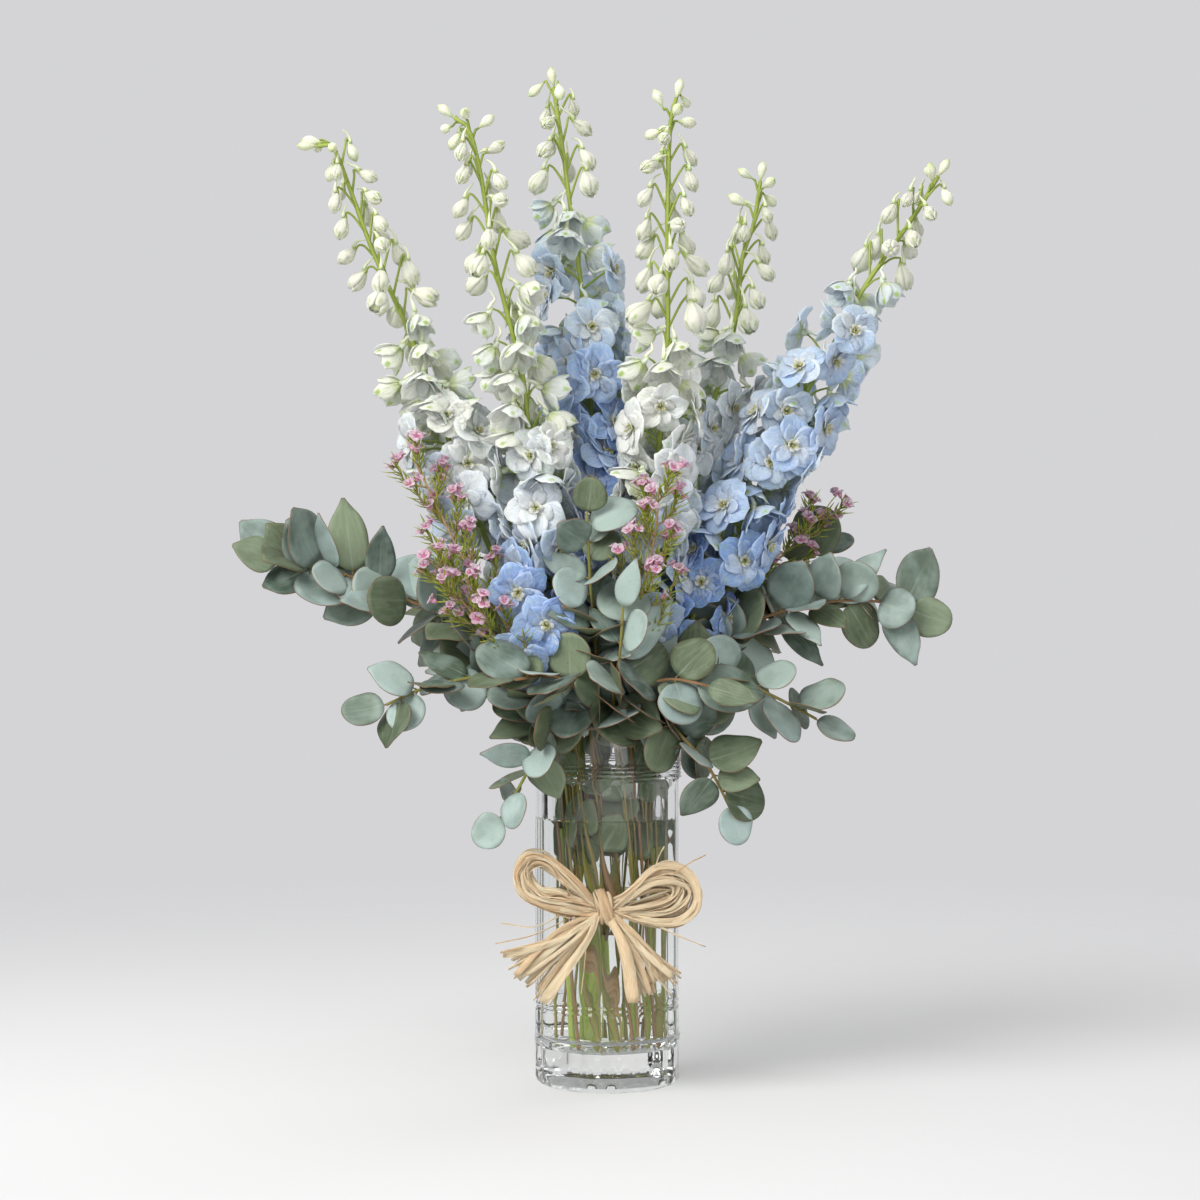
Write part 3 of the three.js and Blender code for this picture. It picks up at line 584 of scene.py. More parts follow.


# The last stops serve the bluest florets, and also the low florets of the bluer spikes, pushed deeper as
# painted shade.
PETAL_STOPS = ((0.0, rgb(253, 253, 249)), (0.28, rgb(228, 238, 252)), (0.55, rgb(180, 206, 250)),
               (0.82, rgb(130, 168, 242)), (1.0, rgb(86, 122, 208)))
BACK_STOPS = ((0.0, rgb(250, 251, 238)), (0.28, rgb(228, 238, 246)), (0.55, rgb(186, 210, 246)),
              (0.82, rgb(140, 174, 236)), (1.0, rgb(92, 128, 204)))
BUD_STOPS = ((0.0, rgb(253, 252, 232)), (0.5, rgb(240, 243, 234)), (1.0, rgb(186, 208, 244)))
BEE_STOPS = ((0.0, rgb(248, 247, 238)), (1.0, rgb(232, 236, 240)))
BLOOM_STOPS = ((0.0, rgb(248, 226, 238)), (0.6, rgb(236, 172, 206)), (1.0, rgb(208, 112, 160)))

FINISHES = {
    Finish.GLASS: ClearFinish((0.985, 0.995, 0.99, 1.0), 1.5, 0.0004),
    Finish.WET_GLASS: ClearFinish((0.985, 0.995, 0.99, 1.0), 1.128),
    Finish.WATER: ClearFinish((0.99, 1.0, 0.995, 1.0), 1.33, 0.0002),
    Finish.WET_WALL: ClearFinish((0.99, 1.0, 0.995, 1.0), 1.0),
    Finish.RAFFIA: StreakedFinish(rgb(220, 170, 116), rgb(255, 240, 204), rgb(244, 196, 144),
                                  9.0, 0.03, 0.62, 0.0006, 0.1),
    Finish.STALK: StreakedFinish(rgb(122, 148, 50), rgb(182, 198, 98), rgb(146, 138, 70), 2.5, 0.05, 0.45),
    Finish.PETAL: PetalFinish(PETAL_STOPS, rgb(238, 243, 222), 0.3, 0.3),
    Finish.PETAL_BACK: PetalFinish(BACK_STOPS, rgb(214, 226, 176), 0.4, 1.0, 0.55),
    Finish.BEE: PetalFinish(BEE_STOPS, rgb(218, 224, 158), 0.45, 0.2, 0.45),
    Finish.BUD: BudFinish(rgb(246, 246, 228), rgb(190, 208, 232), rgb(164, 186, 98)),
    Finish.BUD_SEPAL: PetalFinish(BUD_STOPS, rgb(178, 196, 112), 0.26, 1.1, 0.5, 0.00006),
    Finish.STAMEN: StreakedFinish(rgb(190, 190, 104), rgb(240, 238, 170), rgb(150, 140, 84), 4.0, 0.6, 0.6),
    Finish.LEAF: LeafFinish(rgb(62, 82, 70), rgb(168, 187, 183), rgb(170, 182, 162), rgb(112, 80, 62)),
    Finish.LEAF_BACK: LeafFinish(rgb(80, 92, 64), rgb(130, 140, 108), rgb(140, 142, 108),
                                 rgb(110, 78, 56), 0.6),
    Finish.LEAF_RIM: LeafFinish(rgb(132, 92, 66), rgb(158, 116, 86), rgb(150, 110, 80), rgb(128, 84, 62)),
    Finish.TWIG: StreakedFinish(rgb(112, 78, 54), rgb(166, 128, 92), rgb(126, 144, 62), 2.5, 0.06, 0.6),
    Finish.WAX_TWIG: StreakedFinish(rgb(150, 108, 78), rgb(208, 174, 136), rgb(140, 142, 82), 2.5, 0.1, 0.6),
    Finish.NEEDLE: StreakedFinish(rgb(104, 128, 36), rgb(178, 192, 72), rgb(150, 120, 60), 1.5, 0.3, 0.5),
    Finish.BLOOM: PetalFinish(BLOOM_STOPS, rgb(214, 110, 152), 0.26, 0.0, 0.4),
    Finish.BLOOM_CUP: CupFinish(rgb(232, 164, 190), rgb(188, 92, 126)),
    Finish.FLOOR: FloorFinish(rgb(224, 224, 224), 0.24, 1.5),
}
MATERIALS: dict[Finish, bpy.types.Material] = {}


def material_of(finish: Finish) -> bpy.types.Material:
    """The material of a finish, made the first time that it is asked for."""
    if finish not in MATERIALS:
        MATERIALS[finish] = FINISHES[finish].build(finish.value)
    return MATERIALS[finish]


# ---- meshes in the making

def linked(name: str, data: bpy.types.ID) -> bpy.types.Object:
    """An object in the scene that holds a mesh, lamp or camera."""
    made = bpy.data.objects.new(name, data)
    bpy.context.scene.collection.objects.link(made)
    return made


def finished(bm: bmesh.types.BMesh, name: str, finishes: Iterable[Finish]) -> bpy.types.Object:
    """The object that a shape becomes.

    Args:
        bm: The shape, which is freed.
        name: The object's name.
        finishes: What its faces are made of, in the order of their numbers.

    Returns:
        The object.
    """
    mesh = bpy.data.meshes.new(name)
    bm.to_mesh(mesh)
    bm.free()
    for finish in finishes:
        mesh.materials.append(material_of(finish))
    LOG.info("%s: %d faces", name, len(mesh.polygons))
    return linked(name, mesh)


def stand_for(made: bpy.types.Object, node: str) -> None:
    """Sets a piece on the body in place of a solid, which it hides."""
    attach(made, BODY)
    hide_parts(node)


def spun(outline: Iterable[Pair], steps: int) -> bmesh.types.BMesh:
    """A closed shape spun from radius and height in millimetres."""
    bm = bmesh.new()
    verts = [bm.verts.new((r * MM, 0, z * MM)) for r, z in outline]
    edges = [bm.edges.new(pair) for pair in zip(verts, verts[1:])]
    bmesh.ops.spin(bm, geom=verts + edges, angle=math.tau, steps=steps, axis=(0, 0, 1),
                   cent=(0, 0, 0), use_merge=True, use_duplicate=False)
    bmesh.ops.remove_doubles(bm, verts=bm.verts, dist=1e-6)
    return bm


Surface = Callable[[Row, Row], Vec]


class Skin:
    """A mesh in the making, with the two vector layers that the finishes read.

    The blade layer holds where a point lies on its own blade (across, along, seed), or on a closed shape
    (two parts of its turn, and along). The tint layer holds a tone, a greenness and a shade.
    """

    def __init__(self, *finishes: Finish) -> None:
        """Starts empty, with the finishes that its faces may name."""
        self.finishes = finishes
        self.bm = bmesh.new()
        layers = self.bm.verts.layers.float_vector
        layers.new("blade")
        layers.new("tint")
        self.blade, self.tint = layers["blade"], layers["tint"]

    def sheet(self, columns: int, rows: int, surface: Surface, finish: Finish,
              tint: Sequence[float], seed: float = 0.0, closed: bool = False) -> None:
        """A grid bent into a blade or wrapped into a closed shape.

        Args:
            columns: Faces across.
            rows: Faces along.
            surface: Gives points in millimetres from across (-1 to 1) and along (0 to 1).
            finish: What it is made of.
            tint: Its tone, greenness and shade.
            seed: What sets its pattern apart.
            closed: Whether its sides and ends are joined up.
        """
        made = bmesh.ops.create_grid(self.bm, x_segments=columns, y_segments=rows, size=0.5)["verts"]
        flat = np.array([(v.co.x, v.co.y) for v in made])
        across, along = flat[:, 0] * 2, flat[:, 1] + 0.5
        points = surface(across, along) * MM
        if closed:
            own = np.stack([np.cos(math.pi * across), np.sin(math.pi * across), along], 1)
        else:
            own = np.stack([across, along, np.full(len(flat), seed)], 1)
        index = self.finishes.index(finish)
        faces = {face for vert in made for face in vert.link_faces}
        for vert, point, place in zip(made, points, own):
            vert.co = point
            vert[self.blade] = place
            vert[self.tint] = tint
        for face in faces:
            face.smooth = True
            face.material_index = index
        if closed:
            bmesh.ops.remove_doubles(self.bm, verts=made, dist=1e-6)
            faces = [face for face in faces if face.is_valid]
            bmesh.ops.recalc_face_normals(self.bm, faces=faces)

    def tube(self, points: Sequence[Vec], radii: Sequence[float], finish: Finish,
             tint: Sequence[float], sides: int = 6, flat: float = 1.0) -> None:
        """A closed tube along points.

        Args:
            points: Its centre line.
            radii: Its radius at each point.
            finish: What it is made of.
            tint: Its tone, greenness and shade.
            sides: Faces round it.
            flat: How thick it is one way, as a share of the other.
        """
        line = np.array([points[0], *points, points[-1]])
        thick = np.array([0.0, *radii, 0.0])
        u, w = carried_frames(np.array(points))
        u = np.concatenate([u[:1], u, u[-1:]])
        w = np.concatenate([w[:1], w, w[-1:]])
        rows = len(line) - 1

        def surface(across: Row, along: Row) -> Vec:
            """Points round the centre line."""
            ring = np.rint(along * rows).astype(int)
            turn = math.pi * across
            return (line[ring] + (np.cos(turn) * thick[ring] * flat)[:, None] * u[ring]
                    + (np.sin(turn) * thick[ring])[:, None] * w[ring])

        self.sheet(sides, rows, surface, finish, tint, closed=True)

    def piece(self, name: str, node: str, thickness: float = 0.0, rim: int = 0) -> None:
        """Ends the mesh as a piece that rides on the body.

        Args:
            name: Its name.
            node: The solid that it stands for.
            thickness: The wall given to open blades, in millimetres.
            rim: How many finishes past the front's the wall's edge takes.
        """
        made = finished(self.bm, name, self.finishes)
        if thickness:
            wall = made.modifiers.new("wall", "SOLIDIFY")
            wall.thickness = thickness * MM
            wall.offset = 0.0
            wall.material_offset = 1
            wall.material_offset_rim = rim
        stand_for(made, node)


def carried_frames(points: Vec) -> tuple[Vec, Vec]:
    """Two directions square to a line at each of its points, carried along it without a twist."""
    ahead = np.gradient(points, axis=0)
    ahead /= np.linalg.norm(ahead, axis=1)[:, None]
    start = UP if abs(ahead[0][2]) < 0.8 else vec(0, 1, 0)
    first, second = [], []
    for direction in ahead:
        start = square(start, direction)
        first.append(start)
        second.append(np.cross(direction, start))
    return np.array(first), np.array(second)


def placed(origin: Vec, u: Vec, v: Vec, w: Vec, local: Vec) -> Vec:
    """Local points set in a frame of three directions."""
    return origin + local[:, :1] * u + local[:, 1:2] * v + local[:, 2:] * w


# ---- where everything stands

class Stem:
    """A stem's centre line: straight in the vase, then a smooth curve through its path."""

    def __init__(self, rim: Sequence[float], path: Sequence[Sequence[float]], foot: float,
                 tip: float) -> None:
        """Lays the line.

        Args:
            rim: Where it passes the vase's mouth.
            path: What it passes above that, lowest first.
            foot: Its radius at the vase's floor.
            tip: Its radius at its end.
        """
        top = vec(*rim, VASE_HEIGHT)
        base = turned(vec(*rim, 0), UP, TWIST) * GATHER + UP * (VASE_FLOOR + CLEARANCE)
        knee = base + (top - base) * (KNEE - base[2]) / (top[2] - base[2])
        self.bends = [knee, top, *(vec(*point) for point in path)]
        self.line = [base, *self.bends]
        steps = [float(np.linalg.norm(b - a)) for a, b in zip(self.line, self.line[1:])]
        self.reach = [0.0, *np.cumsum(steps).tolist()]
        self.length = self.reach[-1]
        self.knee_at = self.reach[1]
        self.foot = foot
        self.tip = tip

    def span(self, distance: float) -> tuple[int, float]:
        """The stretch of the line that a distance lies on, and how far along it."""
        s = min(max(distance, 0.0), self.length)
        k = 1
        while k < len(self.line) - 1 and self.reach[k] < s:
            k += 1
        return k, (s - self.reach[k - 1]) / (self.reach[k] - self.reach[k - 1])

    def at(self, distance: float) -> tuple[Vec, Vec, float]:
        """The point, direction and radius at a distance along the line."""
        k, share = self.span(distance)
        point = self.line[k - 1] + (self.line[k] - self.line[k - 1]) * share
        radius = mix(self.foot, self.tip, min(max(distance, 0.0), self.length) / self.length)
        return point, unit(self.line[k] - self.line[k - 1]), radius

    def bent(self, distance: float) -> Vec:
        """The point on the smooth stem at a distance along the line."""
        k, share = self.span(distance)
        if k == 1:
            return self.line[0] + (self.line[1] - self.line[0]) * share
        return stretch(self.bends, k - 2, share)

    def at_height(self, z: float) -> float:
        """The distance along the line at which it first reaches a height."""
        k = 1
        while k < len(self.line) - 1 and self.line[k][2] < z:
            k += 1
        share = (z - self.line[k - 1][2]) / (self.line[k][2] - self.line[k - 1][2])
        return mix(self.reach[k - 1], self.reach[k], min(share, 1.0))

    def marks(self) -> Vec:
        """Points along the bare stem, from the knee up."""
        return np.array([self.at(s)[0] for s in np.arange(self.knee_at, self.length, 6)])

    def grow(self, skin: Skin, finish: Finish, tint: Sequence[float], sides: int = 8,
             slim: float = 0.82) -> None:
        """Adds the stem's tube to a mesh, slimmer than the solid by a share."""
        marks = np.linspace(0, self.length, max(8, round(self.length / 9)))
        points = [self.bent(mark) for mark in marks]
        radii = [mix(self.foot, self.tip, mark / self.length) * (1 + 0.06 * math.sin(mark * 0.21)) * slim
                 for mark in marks]
        skin.tube(points, radii, finish, tint, sides)


@dataclass
class Pose:
    """Where a floret, bud, leaf or bloom stands, with the marks that it fills."""

    root: Vec
    centre: Vec
    facing: Vec
    side: Vec
    length: float
    width: float
    open: float = 1.0
    key: int = 0
    marks: Vec = field(default_factory=lambda: np.zeros((0, 3)))

    def __post_init__(self) -> None:
        """Sets the direction square to its face and side."""
        self.over = np.cross(self.facing, self.side)

    def out(self, degrees: float) -> Vec:
        """The direction across its face at a turn from its side."""
        angle = math.radians(degrees)
        return self.side * math.cos(angle) + self.over * math.sin(angle)


class Room:
    """What each owner already fills, so that neighbours keep clear of each other."""

    def __init__(self) -> None:
        """Starts with the upper part of the vase's wall."""
        self.taken: dict[str, list[Vec]] = {}
        turns = [level(turn) * VASE_RADIUS for turn in range(0, 360, 12)]
        heights = (160, 175, 190, 205, 220, 235, VASE_HEIGHT)
        self.take("vase", np.array([turn + UP * z for turn in turns for z in heights]))

    def take(self, owner: str, points: Vec) -> None:
        """Marks points as filled by an owner."""
        self.taken.setdefault(owner, []).append(points)

    def settle(self, owner: str, pose: Callable[[float], Pose], least: float = -1.0) -> Pose | None:
        """The first swing that leaves enough room, or the one that leaves the most.

        Args:
            owner: Whose part is placed.
            pose: Gives the part's pose for a swing in degrees.
            least: The room below which the part is left out.

        Returns:
            The pose, or None where there is too little room.
        """
        others = np.concatenate([p for name, lists in self.taken.items() if name != owner for p in lists])
        best, best_free = None, -math.inf
        for swing in SWINGS:
            tried = pose(swing)
            gaps = np.linalg.norm(tried.marks[:, None, :] - others[None, :, :], axis=2)
            free = float(gaps.min())
            if free > best_free:
                best, best_free = tried, free
            if free >= ROOM:
                break
        if best_free < least:
            return None
        self.take(owner, best.marks)
        return best


@dataclass
class Plant:
    """What stands in the vase: a stem, and the parts that grow on it where there is room."""

    name: str
    number: int
    rim: Pair
    kind: ClassVar[str] = ""

    @property
    def owner(self) -> str:
        """The name that its room and pieces go by."""
        return self.kind + self.name

    def plan(self, room: Room) -> None:
        """Lays the stem and takes its room."""
        self.stem = Stem(self.rim, self.path, self.foot, self.tip)
        room.take(self.owner, self.stem.marks())

    def add(self, room: Room, parts: list[Pose], pose: Callable[[float], Pose],
            least: float = -1.0) -> None:
        """Adds a part where it has room.

        Args:
            room: What the others fill.
            parts: What the part is added to.
            pose: Gives the part's pose for a swing in degrees.
            least: The room below which the part is left out.
        """
        settled = room.settle(self.owner, pose, least)
        if settled:
            parts.append(settled)


# ---- delphinium

@dataclass(frozen=True)
class Sepal:
    """The outline and bend of one petal."""

    length: float
    width: float
    rise: float
    fall: float
    cup: float = 0.1
    ruffle: float = 0.7
    claw: float = 0.3
    point: float = 0.04
    crease: float = 0.0
    phase: float = 0.0

    def surface(self, across: Row, along: Row) -> Vec:
        """The petal with its foot at the origin, its run along +Y and its upper side towards +Z.

        Args:
            across: Where each point is across it, -1 to 1.
            along: Where each point is along it, 0 to 1.

        Returns:
            The points, in millimetres.
        """
        fore = 2 * along - 1
        x = across * np.sqrt(1 - fore**2 / 2)
        run = (fore * np.sqrt(1 - across**2 / 2) + 1) / 2
        swell = np.sin(np.clip(run / 0.6, 0, 1) * math.pi / 2)
        half = self.width * 0.54 * (self.claw + (1 - self.claw) * swell)
        half = half * (1 + 0.03 * np.sin(self.phase + 9 * along))
        run = run * (1 + 0.03 * along**3 * np.sin(2 * self.phase + 7 * across))
        run = run + self.point * along**4 * np.exp(-(across / 0.34) ** 2)
        start, bend = math.radians(self.rise), math.radians(self.fall - self.rise)
        tilt = start + bend * run
        out = self.length * (np.sin(tilt) - math.sin(start)) / bend
        high = self.length * (math.cos(start) - np.cos(tilt)) / bend
        wave = self.ruffle * run**1.5 * (0.25 + np.abs(x) ** 1.5) * np.sin(
            self.phase + 4.2 * x + 2.4 * run)
        lift = self.cup * half * x**2 * 2 + wave - self.crease * half * np.exp(-(x / 0.2) ** 2) * run
        return np.stack([x * half, out - lift * np.sin(tilt), high + lift * np.cos(tilt)], 1)


@dataclass
class Spike(Plant):
    """One delphinium spike: its stalk, open florets, bells and buds."""

    open: Pair
    turn: float
    low_blue: float
    high_blue: float
    pale_by: float
    full_to: float
    path: list[Point]
    front: tuple[Point, ...] = ()
    foot: float = 3.2
    tip: float = 1.8
    floret_across: float = 40.0
    floret_spacing: float = 13.3
    pedicel: float = 21.0
    depth: float = 9.0
    bud_length: float = 19.0
    bud_width: float = 13.5
    bud_spacing: float = 12.0
    bud_pedicel: float = 13.0
    florets: list[Pose] = field(default_factory=list)
    buds: list[Pose] = field(default_factory=list)

    def floret_pose(self, distance: float, angle: float, opened: float, width: float, key: int,
                    reach_share: float = 1.0, nod: float = 0.0, aside: float = 0.0) -> Pose:
        """Where a floret stands when it grows out of the stem at an angle.

        Args:
            distance: Where on the stem it grows.
            angle: The side of the stem that it grows from.
            opened: How far it is open.
            width: How wide it is.
            key: What sets it apart.
            reach_share: The share of a little stalk's usual length that it has.
            nod: How far its face turns down.
            aside: The degrees that its face turns to one side.

        Returns:
            The pose.
        """
        point, ahead, radius = self.stem.at(distance)
        outward = square(level(angle), ahead)
        facing = unit(turned(outward, UP, aside) + UP * (0.12 + 0.22 * toss(key, 4) - nod))
        reach = self.pedicel * mix(0.7, 1, opened) * (1 + 0.18 * toss(key, 5)) * reach_share
        centre = point + outward * (radius + reach) + ahead * 7
        side = turned(square(UP, facing), facing, 36 * toss(key, 6))
        over = np.cross(facing, side)
        marks = [centre]
        for k in range(5):
            x, y = (c * width * 0.4 for c in level(72 * k)[:2])
            marks.append(centre + side * x + over * y + facing * 2)
        return Pose(self.stem.bent(distance - 4), centre, facing, side, self.depth, width, opened, key,
                    np.array(marks))

    def bud_pose(self, distance: float, angle: float, share: float, key: int, nod: float = 0.0) -> Pose:
        """Where a bud stands.

        Args:
            distance: Where on the stem it grows.
            angle: The side of the stem that it grows from.
            share: How far up it is, from 0 at the lowest bud to 1 at the tip.
            key: What sets it apart.
            nod: How far it turns down.

        Returns:
            The pose, which keeps the share as its opening.
        """
        point, ahead, _ = self.stem.at(distance)
        outward = square(level(angle), ahead)
        size = mix(1, 0.6, share) * (1 + 0.08 * toss(key, 7))
        lift = mix(-0.25, 0.7, share) + 0.25 * toss(key, 8) - nod
        axis = unit(outward + UP * lift)
        reach = self.bud_pedicel * mix(1, 0.5, share)
        neck = point + outward * 0.8 * reach + ahead * reach
        length = self.bud_length * size
        middle = neck + axis * length * 0.5
        sink = mix(-1.0, -0.25, share) if share < 0.86 else 0.5
        hang = unit(outward * (0.62 + 0.3 * toss(key, 14)) + UP * (sink + 0.7 * toss(key, 13) - nod))
        return Pose(self.stem.bent(distance - 2), middle - hang * length * 0.5, hang, square(ahead, hang),
                    length, self.bud_width * size, share, key, np.array([middle]))

    def settle(self, room: Room) -> None:
        """Places the florets and buds that the solids have."""
        start, end = (self.stem.at_height(z) for z in self.open)
        count = round((end - start) / self.floret_spacing)
        for k in range(count + 1):
            share = k / count
            key = 100 * self.number + k
            opened = self.opening(share)
            width = self.floret_across * mix(1.04, 0.8, share) * (1 + 0.05 * toss(key, 3))
            angle = self.turn + GOLDEN_TURN * k + 10 * toss(key, 9)
            self.add(room, self.florets, lambda swing: self.floret_pose(
                mix(start, end, share), angle + swing, opened, width, key))
        run = self.stem.length - end
        buds = round(run / self.bud_spacing)
        for k in range(1, buds):
            share = k / buds
            key = 100 * self.number + 50 + k
            angle = self.turn + GOLDEN_TURN * (count + k) + 16 * toss(key, 9)
            self.add(room, self.buds, lambda swing: self.bud_pose(
                end + run * share**1.1, angle + swing, share, key))
        self.marks = (start, end, count, run, buds)

    def fill_out(self, room: Room) -> None:
        """Places the florets and buds between those of the solids."""
        start, end, count, run, buds = self.marks
        for k in range(2 * count):
            place = k // 2 + (0.3, 0.7)[k % 2] + 0.15 * toss(self.number, k, 1)
            share = place / count
            key = BETWEEN_FLORETS + 100 * self.number + k
            opened = self.opening(share) * (1 - 0.5 * max(0, toss(key, 2)))
            width = self.floret_across * mix(1.02, 0.8, share) * (1 + 0.1 * toss(key, 3))
            angle = self.turn + GOLDEN_TURN * (k // 2) + (248, 69)[k % 2] + 24 * toss(key, 9)
            reach, nod, aside = 0.86 + 0.34 * toss(key, 8), 0.3 + 0.45 * toss(key, 12), 40 * toss(key, 44)
            if share > 0.62 and k % 2:
                continue
            self.add(room, self.florets, lambda swing: self.floret_pose(
                mix(start, end, share), angle + swing, opened, width, key, reach, nod, aside),
                mix(1.5, 2.6, share))
        for k, (z, angle, reach) in enumerate(self.front):
            key = FRONT_FLORETS + 100 * self.number + k
            pose = self.floret_pose(self.stem.at_height(z), angle, 1.0, self.floret_across, key, reach, 0.0,
                                    -90 - angle)
            room.take(self.owner, pose.marks)
            self.florets.append(pose)
        for k in range(1, 9):
            key = LOW_FLORETS + 100 * self.number + k
            width = self.floret_across * (0.96 + 0.08 * toss(key, 3))
            angle = self.turn - GOLDEN_TURN * k + 20 * toss(key, 9)
            self.add(room, self.florets, lambda swing: self.floret_pose(
                start - 9 * k, angle + swing, 0.9, width, key, 1.0, 0.2), 2.4)
        for k in range(1, buds):
            share = (k + 0.5) / buds
            key = BETWEEN_BUDS + 100 * self.number + k
            angle = self.turn + GOLDEN_TURN * (count + k) + 248 + 16 * toss(key, 9)
            self.add(room, self.buds, lambda swing: self.bud_pose(
                end + run * share**1.1, angle + swing, share, key, 0.35), 2.0)

    def opening(self, share: float) -> float:
        """How far the florets are open at a share of the way up the open part."""
        if share < self.full_to:
            return 1.0
        return mix(1.0, 0.2, ((share - self.full_to) / (1 - self.full_to)) ** 0.6)

    def tone(self, pose: Pose) -> float:
        """How blue a floret is, by its height; the extra low florets of the bluer spikes are made deeper
        blue still, as painted shade.
        """
        low, high = self.open
        share = min(max((pose.centre[2] - low) / (high - low) / self.pale_by, 0), 1)
        # Painted shade: the extra low florets of the bluer spikes turn deeper blue, as if shaded deep in the
        # bunch.
        painted_shade = 0.2 if pose.key >= LOW_FLORETS and self.low_blue > 0.65 else 0.0
        return mix(self.low_blue, self.high_blue, share**0.8) + 0.1 * toss(pose.key, 41) + painted_shade

    def add_petal(self, skin: Skin, pose: Pose, sepal: Sepal, angle: float, roll: float, raised: float,
                  finish: Finish, tint: Sequence[float], size: tuple[int, int]) -> None:
        """One petal of a floret.

        Args:
            skin: The mesh that it is added to.
            pose: The floret's pose.
            sepal: Its form.
            angle: Where it stands round the floret's face.
            roll: How far it turns about its own run.
            raised: How far in front of the floret's centre it starts.
            finish: What it is made of.
            tint: Its tone, greenness and shade.
            size: The faces across and along it.
        """
        out = pose.out(angle)
        across = turned(np.cross(out, pose.facing), out, roll)
        normal = np.cross(across, out)
        origin = pose.centre + pose.facing * raised + out * 0.8
        seed = toss(pose.key, round(angle) + 400, 77)
        skin.sheet(*size, lambda u, v: placed(origin, across, out, normal, sepal.surface(u, v)),
                   finish, tint, seed)

    def add_floret(self, petals: Skin, core: Skin, pose: Pose) -> None:
        """A floret: five broad sepals, an inner ring, small white petals, stamens, spur and stalk.

        Args:
            petals: The mesh of the petals.
            core: The mesh of the stalks.
            pose: The floret's pose.
        """
        key, opened = pose.key, pose.open
        blue = self.tone(pose)
        green = mix(0.8, 0.2, opened) + 0.2 * max(0.0, toss(key, 42))
        if opened < 0.78:
            self.add_bell(petals, core, pose, blue, green)
            return
        lift = mix(11, 2.2, opened)
        for lobe in range(5):
            draw = partial(toss, key, lobe)
            reach = pose.width / 2 * mix(0.66, 1, opened) * (1 + 0.07 * draw(1)) * 1.04
            high = lift + 1.6 * draw(2)
            lean = math.degrees(math.atan2(high, reach))
            broad = pose.width * mix(0.42, 0.53, opened) * (1 + 0.1 * draw(51))
            sepal = Sepal(math.hypot(reach, high) * 1.03, broad, lean + 20, lean - 16 + 14 * draw(52),
                          0.08 + 0.14 * draw(53), 1.05 + 0.55 * draw(54), point=0.04 + 0.08 * draw(55),
                          crease=0.05, phase=3 * draw(56))
            self.add_petal(petals, pose, sepal, 72 * lobe + 6 * draw(33), 8.0, -1.0, Finish.PETAL,
                           (blue + 0.07 * draw(57), green, draw(58)), (6, 5))
        inner = 4 + (key * 7) % 2
        for lobe in range(inner):
            draw = partial(toss, key, lobe)
            size = 0.74 + 0.14 * draw(61)
            lean = 13 + 8 * draw(62)
            sepal = Sepal(pose.width / 2 * size, pose.width * (0.31 + 0.07 * draw(68)), lean + 20, lean - 10,
                          0.06, 1.1 + 0.6 * draw(63), point=0.08, phase=3 * draw(64))
            self.add_petal(petals, pose, sepal, 360 / inner * lobe + 36 + 24 * draw(67), 12.0, 0.0,
                           Finish.PETAL, (blue - 0.1 + 0.1 * draw(65), green * 0.7, draw(66)), (4, 4))
        for lobe in range(5):
            draw = partial(toss, key, lobe)
            bee = Sepal(6.6 + 1.6 * draw(71), 3.6, 62 + 12 * draw(72), 26, 0.1, 0.5, point=-0.14,
                        phase=3 * draw(73))
            self.add_petal(petals, pose, bee, 72 * lobe + 20 + 12 * draw(74), 0.0, 0.6, Finish.BEE,
                           (0.3, 0.2, draw(75)), (2, 3))
        for k in range(9):
            out = pose.out(40 * k + 20 * toss(key, k, 81))
            foot = pose.centre + out * 0.6
            head = foot + pose.facing * (4.8 + 1.2 * toss(key, k, 82)) + out * (1.7 + 1.3 * toss(key, k, 84))
            core.tube([foot, head - (head - foot) * 0.3, head], [0.24, 0.3, 0.72], Finish.STAMEN,
                      (0.5 + 0.4 * toss(key, k, 83), 0.2, 0.0), 4)
        self.add_back(core, pose, blue)

    def add_bell(self, petals: Skin, core: Skin, pose: Pose, blue: float, green: float) -> None:
        """A half-open floret: five sepals that stand round it like a hanging bell.

        Args:
            petals: The mesh of the petals.
            core: The mesh of the stalks.
            pose: The floret's pose.
            blue: How blue it is.
            green: How green it is.
        """
        key = pose.key
        droop = 0.6 + 0.3 * toss(key, 45) + 1.4 * max(0.0, -pose.facing[1])
        facing = unit(pose.facing - UP * droop)
        base = pose.centre - pose.facing * 7 + UP * 3.2 * (droop - 0.6)
        hung = Pose(pose.root, base, facing, square(pose.side, facing), pose.length, pose.width,
                    pose.open, key)
        flare = mix(-6, 30, pose.open / 0.78)
        for lobe in range(5):
            draw = partial(toss, key, lobe)
            sepal = Sepal(pose.width * (0.6 + 0.04 * draw(1)), pose.width * (0.46 + 0.05 * draw(51)),
                          38 - 0.4 * flare, 88 - flare + 9 * draw(52), 0.16, 0.9 + 0.5 * draw(54), 0.4, 0.06,
                          0.05, 3 * draw(56))
            self.add_petal(petals, hung, sepal, 72 * lobe + 6 * draw(33), 7.0, -0.6, Finish.PETAL,
                           (blue + 0.06 * draw(57), green, draw(58)), (6, 5))
        for lobe in range(3):
            draw = partial(toss, key, lobe)
            sepal = Sepal(pose.width * (0.42 + 0.05 * draw(61)), pose.width * 0.26, 56, 66 - 0.5 * flare,
                          0.1, 1.0, point=0.06, phase=3 * draw(64))
            self.add_petal(petals, hung, sepal, 120 * lobe + 30 * draw(67), 8.0, 0.4, Finish.PETAL,
                           (blue - 0.05, green * 0.5, draw(66)), (3, 3))
        self.add_back(core, hung, blue)

